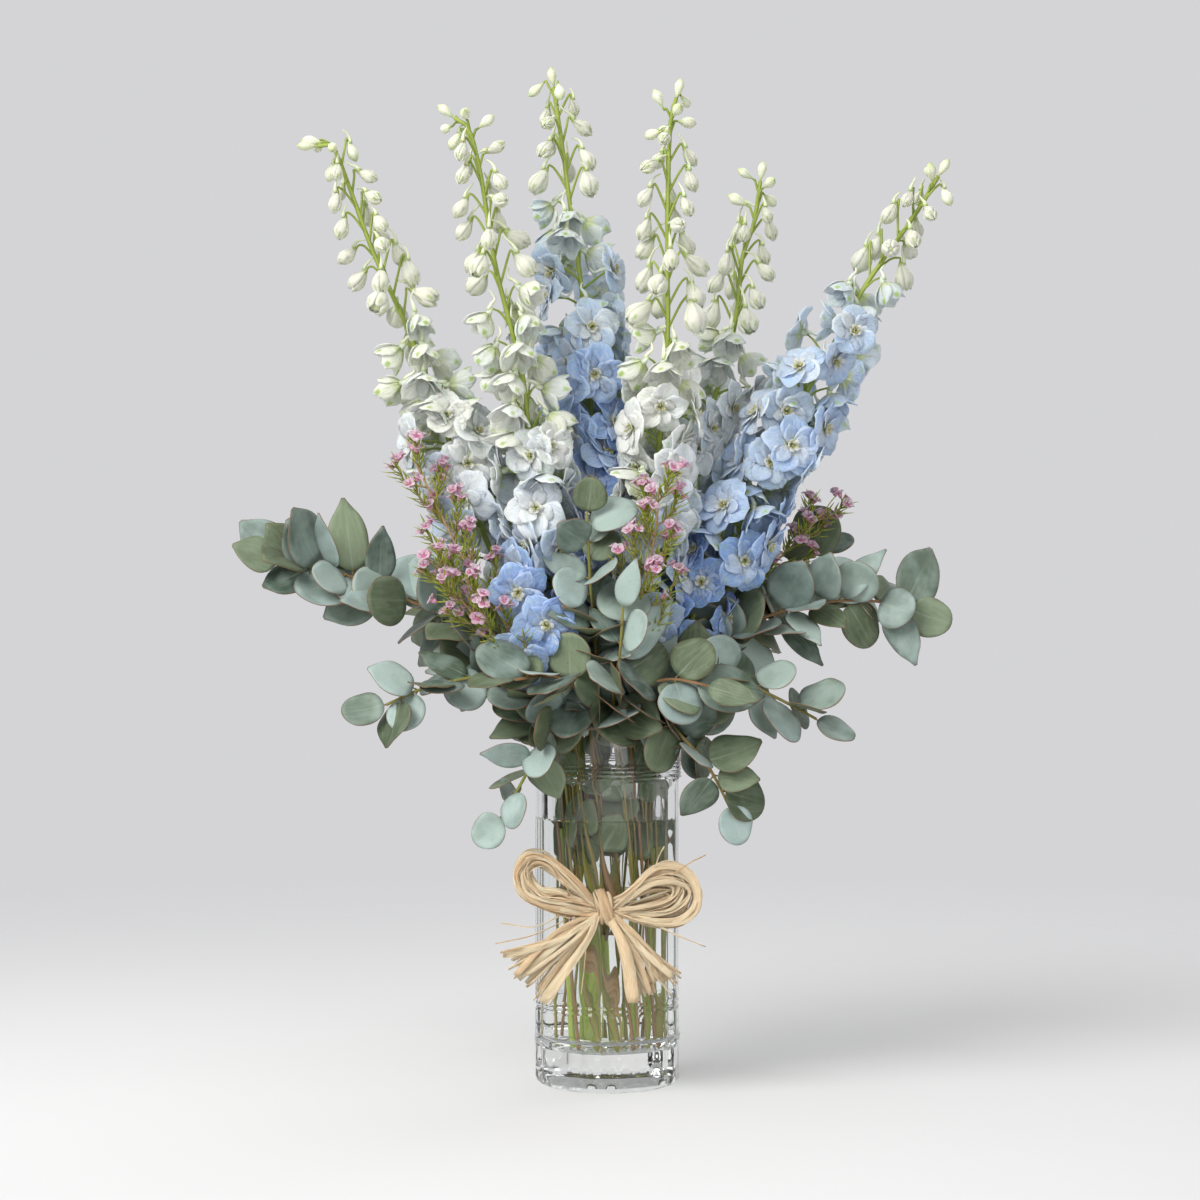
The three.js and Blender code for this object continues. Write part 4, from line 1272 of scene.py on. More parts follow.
    def add_back(self, core: Skin, pose: Pose, blue: float) -> None:
        """What is behind a floret: the cup that holds the sepals, the spur and the little stalk.

        Args:
            core: The mesh of the stalks.
            pose: The floret's pose.
            blue: How blue it is.
        """
        key = pose.key
        back = pose.centre - pose.facing * pose.length * 0.55
        heart = pose.centre + pose.facing * 0.2
        core.tube([back, mix(back, heart, 0.5), heart], [1.0, 1.9, 2.4], Finish.BUD, (0.3, 0.7, 0.0), 6)
        up = square(UP, pose.facing)
        tail = pose.centre - pose.facing * 2 + up * 1.6
        length = 12 + 2.5 * toss(key, 91)
        bend = 0.4 + 0.3 * toss(key, 94)
        spur = [tail, tail - pose.facing * length * 0.45 + up * 0.8,
                tail - pose.facing * length * 0.8 + up * length * 0.12 * bend,
                tail - pose.facing * length + up * length * bend]
        core.tube(curve_through(spur, 2), [1.8, 1.6, 1.4, 1.2, 1.0, 0.8, 0.45], Finish.BUD,
                  (min(0.6, blue * 0.7), 0.25, 0.0), 6)
        sag = mix(pose.root, back, 0.55) + UP * (1.5 + 1.5 * toss(key, 92))
        core.tube(curve_through([pose.root, sag, back], 3), np.linspace(1.0, 0.7, 7).tolist(),
                  Finish.STALK, (0.2 + 0.2 * toss(key, 93), 0.15, 0.0), 5)

    def add_bud(self, petals: Skin, core: Skin, pose: Pose) -> None:
        """A bud of five overlapping sepals round a closed heart; the lowest ones gape a little.

        Args:
            petals: The mesh of the petals.
            core: The mesh of the stalks.
            pose: The bud's pose.
        """
        key, share = pose.key, pose.open
        bell = max(0.0, 1 - share / 0.35)
        length = pose.length * (mix(1.24, 1.3, share) + 0.2 * bell)
        width = pose.width * (mix(1.04, 0.78, share) + 0.28 * bell)
        gape = max(0.0, 0.55 - share) * (0.9 + 0.6 * toss(key, 101))

        def egg(along: Row, swell: Row, gap: float, reach: Row, turn: Row) -> Vec:
            """Points on a teardrop that is widest past its middle and may gape at its mouth."""
            closed = np.sin(math.pi * np.clip(along, 0, 1) ** 1.45) ** 0.86
            mouth = np.sin(math.pi / 2 * np.clip(along * 1.25, 0, 1)) ** 1.3 * (1 - 0.1 * along)
            radius = width / 2 * swell * (closed * (1 - gap) + mouth * gap) + 0.25
            local = np.stack([np.cos(turn) * radius, np.sin(turn) * radius, reach], 1)
            return placed(pose.centre, pose.side, pose.over, pose.facing, local)

        blue = max(0.0, 0.2 * (1 - share) * self.high_blue * 2 + 0.05 * toss(key, 95))
        green = min(max(mix(0.12, 0.62, share) + 0.2 * toss(key, 96), 0.0), 1.0)
        small = share >= 0.8
        swell = 1.0 if small else 0.84
        core.sheet(10 if small else 8, 9 if small else 7,
                   lambda u, v: egg(v, swell * (np.abs(v - 0.5) < 0.499), 0.0, v * length * 0.95,
                                    math.pi * u),
                   Finish.BUD, (blue, green, 0.0), closed=True)
        for lobe in () if small else range(5):
            tall = length * (1 + 0.04 * toss(key, lobe, 98))
            grown = 1 + 0.02 * (lobe % 2) + 0.015 * toss(key, lobe, 99)
            tint = (blue + 0.04 * toss(key, lobe, 97), green * 0.9, toss(key, lobe, 100))

            def sepal(u: Row, v: Row) -> Vec:
                """A keeled sepal that hugs the teardrop, its far edge over its neighbour's."""
                turn = np.radians(72 * lobe - u * mix(50, 42, gape) * (1 - 0.25 * v**3))
                keel = grown + 0.03 * u + 0.03 * (1 - np.abs(u)) * v
                high = tall * v * 0.97 * (1 - 0.08 * u**2 * v)
                return egg(v * 0.98 * (1 - 0.03 * u**2), keel, gape, high, turn)

            petals.sheet(4, 6, sepal, Finish.BUD_SEPAL, tint, toss(key, lobe, 102))
        neck = pose.centre
        over = mix(pose.root, neck, 0.6) + UP * mix(4.5, 2.0, share)
        stalk = curve_through([pose.root, over, neck - pose.facing * 1.6, neck + pose.facing * 0.8], 3)
        core.tube(stalk, np.linspace(0.95, 0.75, 10).tolist(), Finish.STALK,
                  (0.2 + 0.2 * toss(key, 94), 0.1, 0.0), 5)
        if share < 0.85:
            up = square(UP, pose.facing)
            start = neck + pose.facing * length * 0.16 + up * width * 0.16
            long = mix(0.95, 0.75, share) * length * (0.75 + 0.2 * toss(key, 104))
            spur = [start, start + up * 1.2 - pose.facing * long * 0.3,
                    start + up * 1.0 - pose.facing * long * 0.65, start + up * 2.6 * toss(key, 105)
                    - pose.facing * long]
            core.tube(curve_through(spur, 2), [1.9, 1.5, 1.2, 0.95, 0.8, 0.6, 0.3], Finish.BUD,
                      (blue, 0.9, 0.0), 6)

    def build(self) -> None:
        """Makes the spike's petals and its stalk with buds."""
        petals = Skin(Finish.PETAL, Finish.PETAL_BACK, Finish.BEE, Finish.BEE, Finish.BUD_SEPAL,
                      Finish.BUD_SEPAL)
        core = Skin(Finish.STALK, Finish.BUD, Finish.STAMEN)
        self.stem.grow(core, Finish.STALK, (0.25, 0.25, 0.0))
        for pose in self.florets:
            self.add_floret(petals, core, pose)
        for pose in self.buds:
            self.add_bud(petals, core, pose)
        point, ahead, _ = self.stem.at(self.stem.length)
        self.add_bud(petals, core, Pose(
            self.stem.bent(self.stem.length - 3), point, ahead, square(vec(0, 1, 0), ahead),
            self.bud_length * 0.62, self.bud_width * 0.6, 1.0, 99 + 100 * self.number))
        petals.piece(f"{self.name}_petals", f"{self.name}_florets", 0.3)
        core.piece(f"{self.name}_stalk", f"{self.name}_stem")


# ---- eucalyptus

@dataclass
class Branch(Plant):
    """One eucalyptus branch with its leaves in pairs."""

    face: Point
    leafy: float
    size: float
    path: list[Point]
    foot: float = 2.4
    tip: float = 1.7
    leaf_length: float = 37.0
    leaf_width: float = 32.0
    spacing: float = 23.6
    leaves: list[Pose] = field(default_factory=list)
    kind: ClassVar[str] = "eucalyptus_"

    def leaf_pose(self, distance: float, angle: float, lean: float, size: float, key: int) -> Pose:
        """Where a leaf stands, its upper side towards the branch's face.

        Args:
            distance: Where on the stem it grows.
            angle: How far round the stem.
            lean: How far it leans along the stem.
            size: Its size, as a share of the usual.
            key: What sets it apart.

        Returns:
            The pose.
        """
        point, ahead, _ = self.stem.at(distance)
        face = unit(vec(*self.face))
        flat = square(np.cross(ahead, face), ahead)
        outward = turned(flat, ahead, angle)
        rib = unit(outward * math.cos(math.radians(lean)) + ahead * math.sin(math.radians(lean)))
        tilt = vec(0.45 * toss(key, 11), 0.45 * toss(key, 12), 0.45 * toss(key, 13))
        normal = square(face + tilt, rib)
        across = np.cross(normal, rib)
        length = self.leaf_length * size * (1 + 0.1 * toss(key, 14))
        width = self.leaf_width * size * (1 + 0.1 * toss(key, 15))
        marks = [point + rib * x * length + across * y * width
                 for x, y in ((0.5, 0), (1, 0), (0.5, 0.4), (0.5, -0.4))]
        foot = self.stem.bent(distance)
        return Pose(foot, foot, normal, rib, length, width, 1.0, key, np.array(marks))

    def settle(self, room: Room) -> None:
        """Places the leaves that the solids have."""
        stem = self.stem
        start = mix(stem.knee_at, stem.length, self.leafy)
        pairs = max(2, round((stem.length - start) / self.spacing))
        for k in range(pairs):
            share = k / pairs
            size = self.size * mix(1, 0.72, share)
            for hand in (0, 1):
                key = PAIRED_LEAVES + 100 * self.number + 2 * k + hand
                angle = 180 * hand + (42 if k % 2 else -42) + 18 * toss(key, 10)
                lean = mix(18, 42, share) + 12 * toss(key, 17)
                self.add(room, self.leaves, lambda swing: self.leaf_pose(
                    mix(start, stem.length, share), angle + swing, lean, size, key))
        key = PAIRED_LEAVES + 100 * self.number + 99
        self.add(room, self.leaves, lambda swing: self.leaf_pose(
            stem.length - 2, swing, 80, self.size * 0.78, key))
        self.marks = (start, pairs)

    def fill_out(self, room: Room) -> None:
        """Places leaves between the pairs, over the vase's rim and inside the vase."""
        stem = self.stem
        start, pairs = self.marks
        rim = stem.reach[2] + 7
        between = (0.3, 0.55, 0.8) if self.name in ("left", "right") else (0.5,)
        places = [(mix(start, stem.length, (k + part) / pairs), 0.95, 2.4) for k in range(pairs)
                  for part in between]
        places += [(place, 0.95, 1.5) for place in np.arange(rim, start + 8, 12)] * 3
        for k, (place, size, least) in enumerate(places):
            key = BETWEEN_LEAVES + 100 * self.number + k
            self.add(room, self.leaves, lambda swing: self.leaf_pose(
                place, 360 * toss(key, 31) + swing, 34 + 24 * toss(key, 17),
                self.size * size * (1 + 0.18 * toss(key, 32)), key), least)
        for k, z in enumerate((158, 176, 190, 204, 216, 228, 240)):
            key = DROWNED_LEAVES + 100 * self.number + k
            share = (z + 8 * toss(key, 33) - stem.line[0][2]) / (VASE_HEIGHT - stem.line[0][2])
            pose = room.settle(self.owner, lambda swing: self.leaf_pose(
                share * stem.reach[2], 180 * toss(key, 31) + swing, 70, self.size * 0.66, key), 0.8)
            if pose and np.hypot(*pose.marks[:, :2].T).max() < VASE_BORE - 3 and (self.number + k) % 4:
                self.leaves.append(pose)

    def add_leaf(self, blades: Skin, twig: Skin, pose: Pose) -> None:
        """A blade that cups along its rib, on a short stalk: round, heart-shaped or slender.

        Args:
            blades: The mesh of the leaves.
            twig: The mesh of the twig.
            pose: The leaf's pose.
        """
        key = pose.key
        rib, across, normal = pose.side, pose.over, pose.facing
        kind = 0 if toss(key, 30) < 0.2 else 1 if toss(key, 30) < 0.7 else 2
        length, width = pose.length * (1.1, 1.18, 1.26)[kind], pose.width * (1.2, 1.14, 0.74)[kind]
        taper, tip = (0.12, 0.42, 0.3)[kind] + 0.12 * toss(key, 36), (0.0, 0.09, 0.14)[kind]
        curl = 0.13 * toss(key, 16) + 0.13 * toss(key, 20)
        fold = 0.12 + 0.12 * toss(key, 21)
        wave, phase = 1.5 + 1.4 * toss(key, 22), 3 * toss(key, 23)
        foot = 0.1 * length

        def surface(u: Row, v: Row) -> Vec:
            """The rounded blade in the leaf's frame, from its stalk outwards."""
            fore = 2 * v - 1
            x = u * np.sqrt(1 - fore**2 / 2)
            run = (fore * np.sqrt(1 - u**2 / 2) + 1) / 2
            half = width / 2 * (1 - taper * (run - 0.4)) * (1 + 0.05 * np.sin(phase + 5 * run + 2 * x))
            run = run + tip * run**5 * np.exp(-(x / 0.3) ** 2)
            out = foot + (length - foot) * run
            bend = curl * run**2 * length + fold * np.abs(x * half) * (1 - 0.5 * np.abs(x))
            bend = bend + wave * run * x**2 * np.sin(phase + 6 * run + 1.5 * x)
            return pose.centre + out[:, None] * rib - (x * half)[:, None] * across + bend[:, None] * normal

        olive = 0.85 if toss(key, 34) > 0.3 else 0.1 + 0.1 * toss(key, 35)
        # Leaves under the water get the darkest tone and the strongest darkening: painted shade, since the
        # glass lets the lamps reach them.
        drowned = DROWNED_LEAVES <= key < SHOOTS
        tone = 0.0 if drowned else 0.38 + 0.56 * toss(key, 25)
        tint = (tone, max(0.0, 0.25 * toss(key, 26)), 0.9 if drowned else olive)
        blades.sheet(7, 8, surface, Finish.LEAF, tint, toss(key, 28))
        twig.tube([pose.centre, pose.centre + rib * foot * 0.6, pose.centre + rib * foot * 1.3],
                  [0.75, 0.6, 0.4], Finish.TWIG, (0.3, 0.5, 0.0), 4)

    def add_shoots(self, twig: Skin) -> None:
        """Thin side shoots that stand beside the stem in the vase."""
        stem = self.stem
        for k in range(2):
            key = SHOOTS + 10 * self.number + k
            low = stem.reach[1] * (0.56 + 0.12 * toss(key, 1))
            high = stem.reach[2] + 14 + 12 * toss(key, 2)
            aside = level(180 * toss(key, 3)) * (5.5 + 1.5 * toss(key, 4))
            marks = np.linspace(low, high, 9)
            line = [stem.bent(mark) + aside * math.sin(math.pi * (0.15 + 0.85 * n / 8)) for n, mark in
                    enumerate(marks)]
            twig.tube(line, [0.75] * 9, Finish.TWIG, (0.05 + 0.2 * toss(key, 5), 0.6, 0.0), 5)

    def build(self) -> None:
        """Makes the branch's twig and its leaves."""
        twig = Skin(Finish.TWIG)
        self.stem.grow(twig, Finish.TWIG, (0.25, 0.95 if self.number % 3 else 0.1, 0.0), 7, 0.6)
        blades = Skin(Finish.LEAF, Finish.LEAF_BACK, Finish.LEAF_RIM)
        for pose in self.leaves:
            self.add_leaf(blades, twig, pose)
        self.add_shoots(twig)
        blades.piece(f"{self.owner}_leaves", self.owner, 0.5, 2)
        twig.piece(f"{self.owner}_twig", self.owner)


# ---- waxflower

@dataclass
class Spray(Plant):
    """One waxflower spray: needles low down and blooms towards its tip."""

    bare: float
    bloom: float
    path: list[Point]
    foot: float = 1.9
    tip: float = 1.4
    across: float = 10.5
    spacing: float = 11.0
    stalk: float = 13.0
    needle_length: float = 16.0
    needle_spacing: float = 20.0
    blooms: list[Pose] = field(default_factory=list)
    twigs: list[tuple[list[Vec], int]] = field(default_factory=list)
    kind: ClassVar[str] = "waxflower_"

    def bloom_pose(self, distance: float, angle: float, stalk: float, key: int) -> Pose:
        """Where a bloom stands.

        Args:
            distance: Where on the stem it grows.
            angle: The side of the stem that it grows from.
            stalk: How long its stalk is.
            key: What sets it apart.

        Returns:
            The pose.
        """
        point, ahead, _ = self.stem.at(distance)
        outward = square(level(angle), ahead)
        centre = point + outward * stalk * 0.72 + ahead * stalk * 0.8
        facing = unit(outward * 0.7 + UP * 0.75)
        return Pose(self.stem.bent(distance), centre, facing, square(ahead, facing), stalk,
                    self.across * (1 + 0.12 * toss(key, 18)), 1.0, key, np.array([centre]))

    def settle(self, room: Room) -> None:
        """Places the blooms that the solids have."""
        stem, base = self.stem, STEM_BLOOMS + 200 * self.number
        first = mix(stem.knee_at, stem.length, self.bloom)
        count = round((stem.length - first) / self.spacing)
        for k in range(count + 1):
            key = base + k
            stalk = self.stalk * (1 if k % 2 else 1.45) * (1 + 0.2 * toss(key, 20))
            self.add(room, self.blooms, lambda swing: self.bloom_pose(
                mix(first, stem.length - 1, k / count), GOLDEN_TURN * k + swing, stalk, key))

    def fill_out(self, room: Room) -> None:
        """Lays side twigs, with a bloom or two at the end of each upper one."""
        stem, base = self.stem, SIDE_TWIGS + 200 * self.number
        bare = mix(stem.reach[2], stem.length, 0.25)
        for k in range(16):
            key = base + k
            share = (k + 0.5) / 16
            distance = mix(bare, stem.length - 6, share)
            _, ahead, _ = stem.at(distance)
            outward = square(level(GOLDEN_TURN * k + 40 + 20 * toss(key, 1)), ahead)
            reach = mix(34, 18, share) * (1 + 0.2 * toss(key, 2))
            root = stem.bent(distance)
            middle = root + (outward * 0.5 + ahead * 0.42) * reach
            tip = middle + (outward * 0.16 + ahead * 0.4 + UP * 0.24) * reach
            room_there = Pose(root, tip, ahead, outward, reach, 1, marks=np.array([tip]))
            if room.settle(self.owner, lambda swing: room_there, 3.0) is None:
                continue
            self.twigs.append(([root, middle, tip], key))
            if share > 0.3:
                for bud in range(3 + (k * 5) % 3):
                    side = turned(outward, ahead, 95 * bud)
                    facing = unit(side * 0.5 + UP * (0.8 + 0.3 * toss(key, bud, 2)) - vec(0, 0.22, 0))
                    centre = tip + side * (4.8 - 0.4 * bud) + UP * (1.6 + 1.2 * bud + 1.5 * toss(key, bud))
                    self.blooms.append(Pose(
                        tip - UP * 1.5, centre, facing, square(ahead, facing), 8,
                        self.across * (0.82 + 0.18 * toss(key, bud, 18)), 1.0, key + bud * 40))

    def add_bloom(self, petals: Skin, core: Skin, pose: Pose) -> None:
        """Five round petals round a dark cup.

        Args:
            petals: The mesh of the petals.
            core: The mesh of the twig.
            pose: The bloom's pose.
        """
        key, radius = pose.key, pose.width / 2
        rise = 48 + 22 * toss(key, 9)
        for lobe in range(5):
            draw = partial(toss, key, lobe)
            out = pose.out(72 * lobe + 8 * draw(1))
            across = np.cross(out, pose.facing)
            sepal = Sepal(radius * 0.86, radius * (0.98 + 0.1 * draw(6)), rise, rise - 30 + 16 * draw(2),
                          0.2, 0.55, 0.5, 0.0, 0.05, 3 * draw(7))
            origin = pose.centre - pose.facing * 0.6 + out * radius * 0.2
            petals.sheet(3, 3, lambda u, v: placed(origin, across, out, pose.facing, sepal.surface(u, v)),
                         Finish.BLOOM, (0.5 + 0.3 * draw(3), 0.0, draw(4)), draw(5))
        throat = [pose.centre - pose.facing * 3.4, pose.centre - pose.facing * 1.6,
                  pose.centre - pose.facing * 0.1, pose.centre + pose.facing * 0.3]
        core.tube(throat, [0.8, radius * 0.36, radius * 0.4, radius * 0.22], Finish.BLOOM_CUP,
                  (0.0, 0.0, 0.0), 7)
        bow = mix(pose.root, throat[0], 0.5) + UP * 0.8
        core.tube(curve_through([pose.root, bow, throat[0]], 2), [0.6, 0.55, 0.5, 0.5, 0.5],
                  Finish.NEEDLE, (0.5, 0.4, 0.0), 4)

    def add_needle(self, core: Skin, root: Vec, ahead: Vec, angle: float, length: float, key: int) -> None:
        """A slim pointed leaf out of a twig.

        Args:
            core: The mesh that it is added to.
            root: Where on the twig it grows.
            ahead: Which way the twig runs there.
            angle: The side of the twig that it grows from.
            length: How long it is.
            key: What sets it apart.
        """
        outward = square(level(angle), ahead)
        axis = unit(outward + ahead * 1.3)
        tip = root + axis * length + ahead * length * 0.12
        core.tube([root, mix(root, tip, 0.5) + outward * 0.6, tip], [0.45, 0.72, 0.14], Finish.NEEDLE,
                  (0.4 + 0.35 * toss(key, 29), 0.3, 0.0), 4, 0.6)

    def build(self) -> None:
        """Makes the spray's petals and its twig with needles."""
        petals = Skin(Finish.BLOOM, Finish.BLOOM)
        core = Skin(Finish.WAX_TWIG, Finish.NEEDLE, Finish.BLOOM_CUP)
        stem, base = self.stem, STEM_BLOOMS + 200 * self.number
        stem.grow(core, Finish.WAX_TWIG, (0.3, 0.3, 0.0), 6, 0.6)
        for pose in self.blooms:
            self.add_bloom(petals, core, pose)
        bare = mix(stem.knee_at, stem.length, self.bare)
        needles = round((stem.length - bare) / self.needle_spacing)
        for k in range(needles):
            key = base + 100 + k
            length = self.needle_length * (1 + 0.2 * toss(key, 19))
            place = mix(bare, stem.length, k / needles)
            self.add_needle(core, stem.bent(place), stem.at(place)[1], GOLDEN_TURN * k + 60, length, key)
        low = stem.knee_at * 0.6
        for k, place in enumerate(np.arange(low, mix(low, stem.length, 0.8), 4.4)):
            key = LOW_NEEDLES + 400 * self.number + k
            length = self.needle_length * (0.7 + 0.2 * toss(key, 19)) * (0.6 if place < stem.reach[2] else 1)
            self.add_needle(core, stem.bent(place), stem.at(place)[1], GOLDEN_TURN * k + 20, length, key)
        for line, key in self.twigs:
            core.tube(curve_through(line, 4), np.linspace(0.75, 0.45, 9).tolist(), Finish.WAX_TWIG,
                      (0.4, 0.5, 0.0), 5)
            for k in range(22):
                share = 0.15 + 0.85 * k / 22
                spot = stretch(line, int(share * 1.999), (share * 2) % 1)
                self.add_needle(core, spot, unit(line[2] - line[0]), GOLDEN_TURN * k,
                                10 + 2.5 * toss(key, k), key + k)
        petals.piece(f"{self.owner}_petals", self.owner, 0.3)
        core.piece(f"{self.owner}_twig", self.owner)


# ---- vase and water

@dataclass
class CutVase:
    """The heavy cut-glass cylinder: flat panels between pairs of half-round columns."""

    steps: int = 240
    phase: float = 55.0
    sixth: float = 60.0
    panel: float = 15.0
    groove: float = 1.7

    def profile(self) -> list[Pair]:
        """Outer and inner outline as radius and height, from the foot's centre round to the floor's."""
        r = VASE_RADIUS
        deep = [(r, 0), (9, 0), (6, 0.4), (3, 2), (1, 4.2), (0, 7)]
        deep += [(0, z) for z in (*np.arange(9, 26, 2), *np.arange(26.5, 34.5, 0.8))]
        deep += [(1.8, 34.8), (2.6, 35.6), (1.8, 36.4)]
        deep += [(0, z) for z in np.arange(37, 53, 1.5)]
        deep += [(0.2, 53.4), (0.8, 54.4), (1.1, 55.4), (0.8, 56.4), (0.3, 57.5), (0.8, 58.6), (1.1, 59.6),
                 (0.8, 60.6), (0.2, 61.8)]
        deep += [(0, z) for z in (*np.arange(63, 201, 4), *np.arange(202, 214.5, 1))]
        for ring in (215.2, 218.0, 220.8, 223.6):
            deep += [(0.3, ring - 0.9), (1.3, ring), (0.3, ring + 0.9)]
        deep += [(0.9, 226.4), (1, 236), (1, 246), (1.3, 248.6), (2.6, 249.9), (3.6, 250), (5, 249.6),
                 (r - VASE_BORE, 248)]
        outer = [(r - d, z) for d, z in deep]
        inner = [(VASE_BORE, z) for z in (235, 210, WATER_LEVEL, 160, 120, 80, 50, 34)]
        inner += [(VASE_BORE - 1.2, 29), (VASE_BORE - 4, VASE_FLOOR + 0.4), (VASE_BORE - 8, VASE_FLOOR),
                  (0, VASE_FLOOR)]
        return outer + inner

    def depth(self, turn: float, z: float) -> float:
        """How deep the cutter goes.

        Args:
            turn: The side of the vase, in degrees.
            z: The height.

        Returns:
            The depth, in millimetres.
        """
        place = (turn - self.phase + self.sixth / 2) % self.sixth - self.sixth / 2
        away = abs(place)
        r = VASE_RADIUS
        if away <= self.panel:
            flat = (r - self.groove) * math.cos(math.radians(self.panel)) / math.cos(math.radians(away))
            deep = r - flat
        else:
            deep = self.groove * (1 - math.sin(math.pi * (away - self.panel) / 15))
        if z > 62:
            arch = 214 - 6 * (away / 30) ** 2
            return deep * min(max((arch - z) / 1.6, 0), 1) * min(max((z - 62) / 1.5, 0), 1)
        if z > 53:
            return 0.6 * deep
        if z > 36.5:
            return 0.85 * deep * min(0.6 + (z - 36.5) / 4, 0.6 + (54 - z) / 4, 1)
        arch = 33.4 - 5 * ((away - 22.5) / 7.5 if away > self.panel else 0) ** 2
        if z > 34.6:
            return 0.35 * deep
        return deep * min(max((arch - z) / 1.5, 0.35), 1) * min(max((z - 3) / 5, 0), 1)

    def build(self) -> None:
        """Spins the outline and cuts the pattern into its wall."""
        bm = spun(self.profile(), self.steps)
        for vert in bm.verts:
            radius = math.hypot(vert.co.x, vert.co.y)
            if radius < (VASE_BORE + 2) * MM:
                continue
            cut = self.depth(math.degrees(math.atan2(vert.co.y, vert.co.x)), vert.co.z / MM) * MM
            vert.co.x *= (radius - cut) / radius
            vert.co.y *= (radius - cut) / radius
        bmesh.ops.recalc_face_normals(bm, faces=bm.faces)
        for face in bm.faces:
            face.smooth = True
            place = face.calc_center_median() / MM
            inside = math.hypot(place.x, place.y) < VASE_BORE + 0.5 and place.z > VASE_FLOOR - 0.5
            face.material_index = int(inside and place.z < WATER_LEVEL)
        for edge in bm.edges:
            if edge.calc_face_angle(0) > math.radians(24):
                edge.smooth = False
        stand_for(finished(bm, "cut_vase", (Finish.GLASS, Finish.WET_GLASS)), "vase")


@dataclass
class Water:
    """The water, which meets the glass a hair inside its wall."""

    steps: int = 96
    gap: float = 0.05
    meniscus: float = 1.4

    def build(self) -> None:
        """Spins the water's outline."""
        r, low = VASE_BORE - self.gap, VASE_FLOOR + self.gap
        outline = [(0, low), (VASE_BORE - 8, low), (VASE_BORE - 4, low + 0.4), (r - 1.2, 29), (r, 34),
                   (r, 80), (r, 140), (r, WATER_LEVEL), (r - 0.9, WATER_LEVEL - 0.9),
                   (r - 3, WATER_LEVEL - self.meniscus), (0, WATER_LEVEL - self.meniscus)]
        bm = spun(outline, self.steps)
        bmesh.ops.recalc_face_normals(bm, faces=bm.faces)
        for face in bm.faces:
            face.smooth = True
            face.material_index = int(face.calc_center_median().z < (WATER_LEVEL - 3) * MM)
        stand_for(finished(bm, "vase_water", (Finish.WATER, Finish.WET_WALL)), "water")


# ---- raffia bow

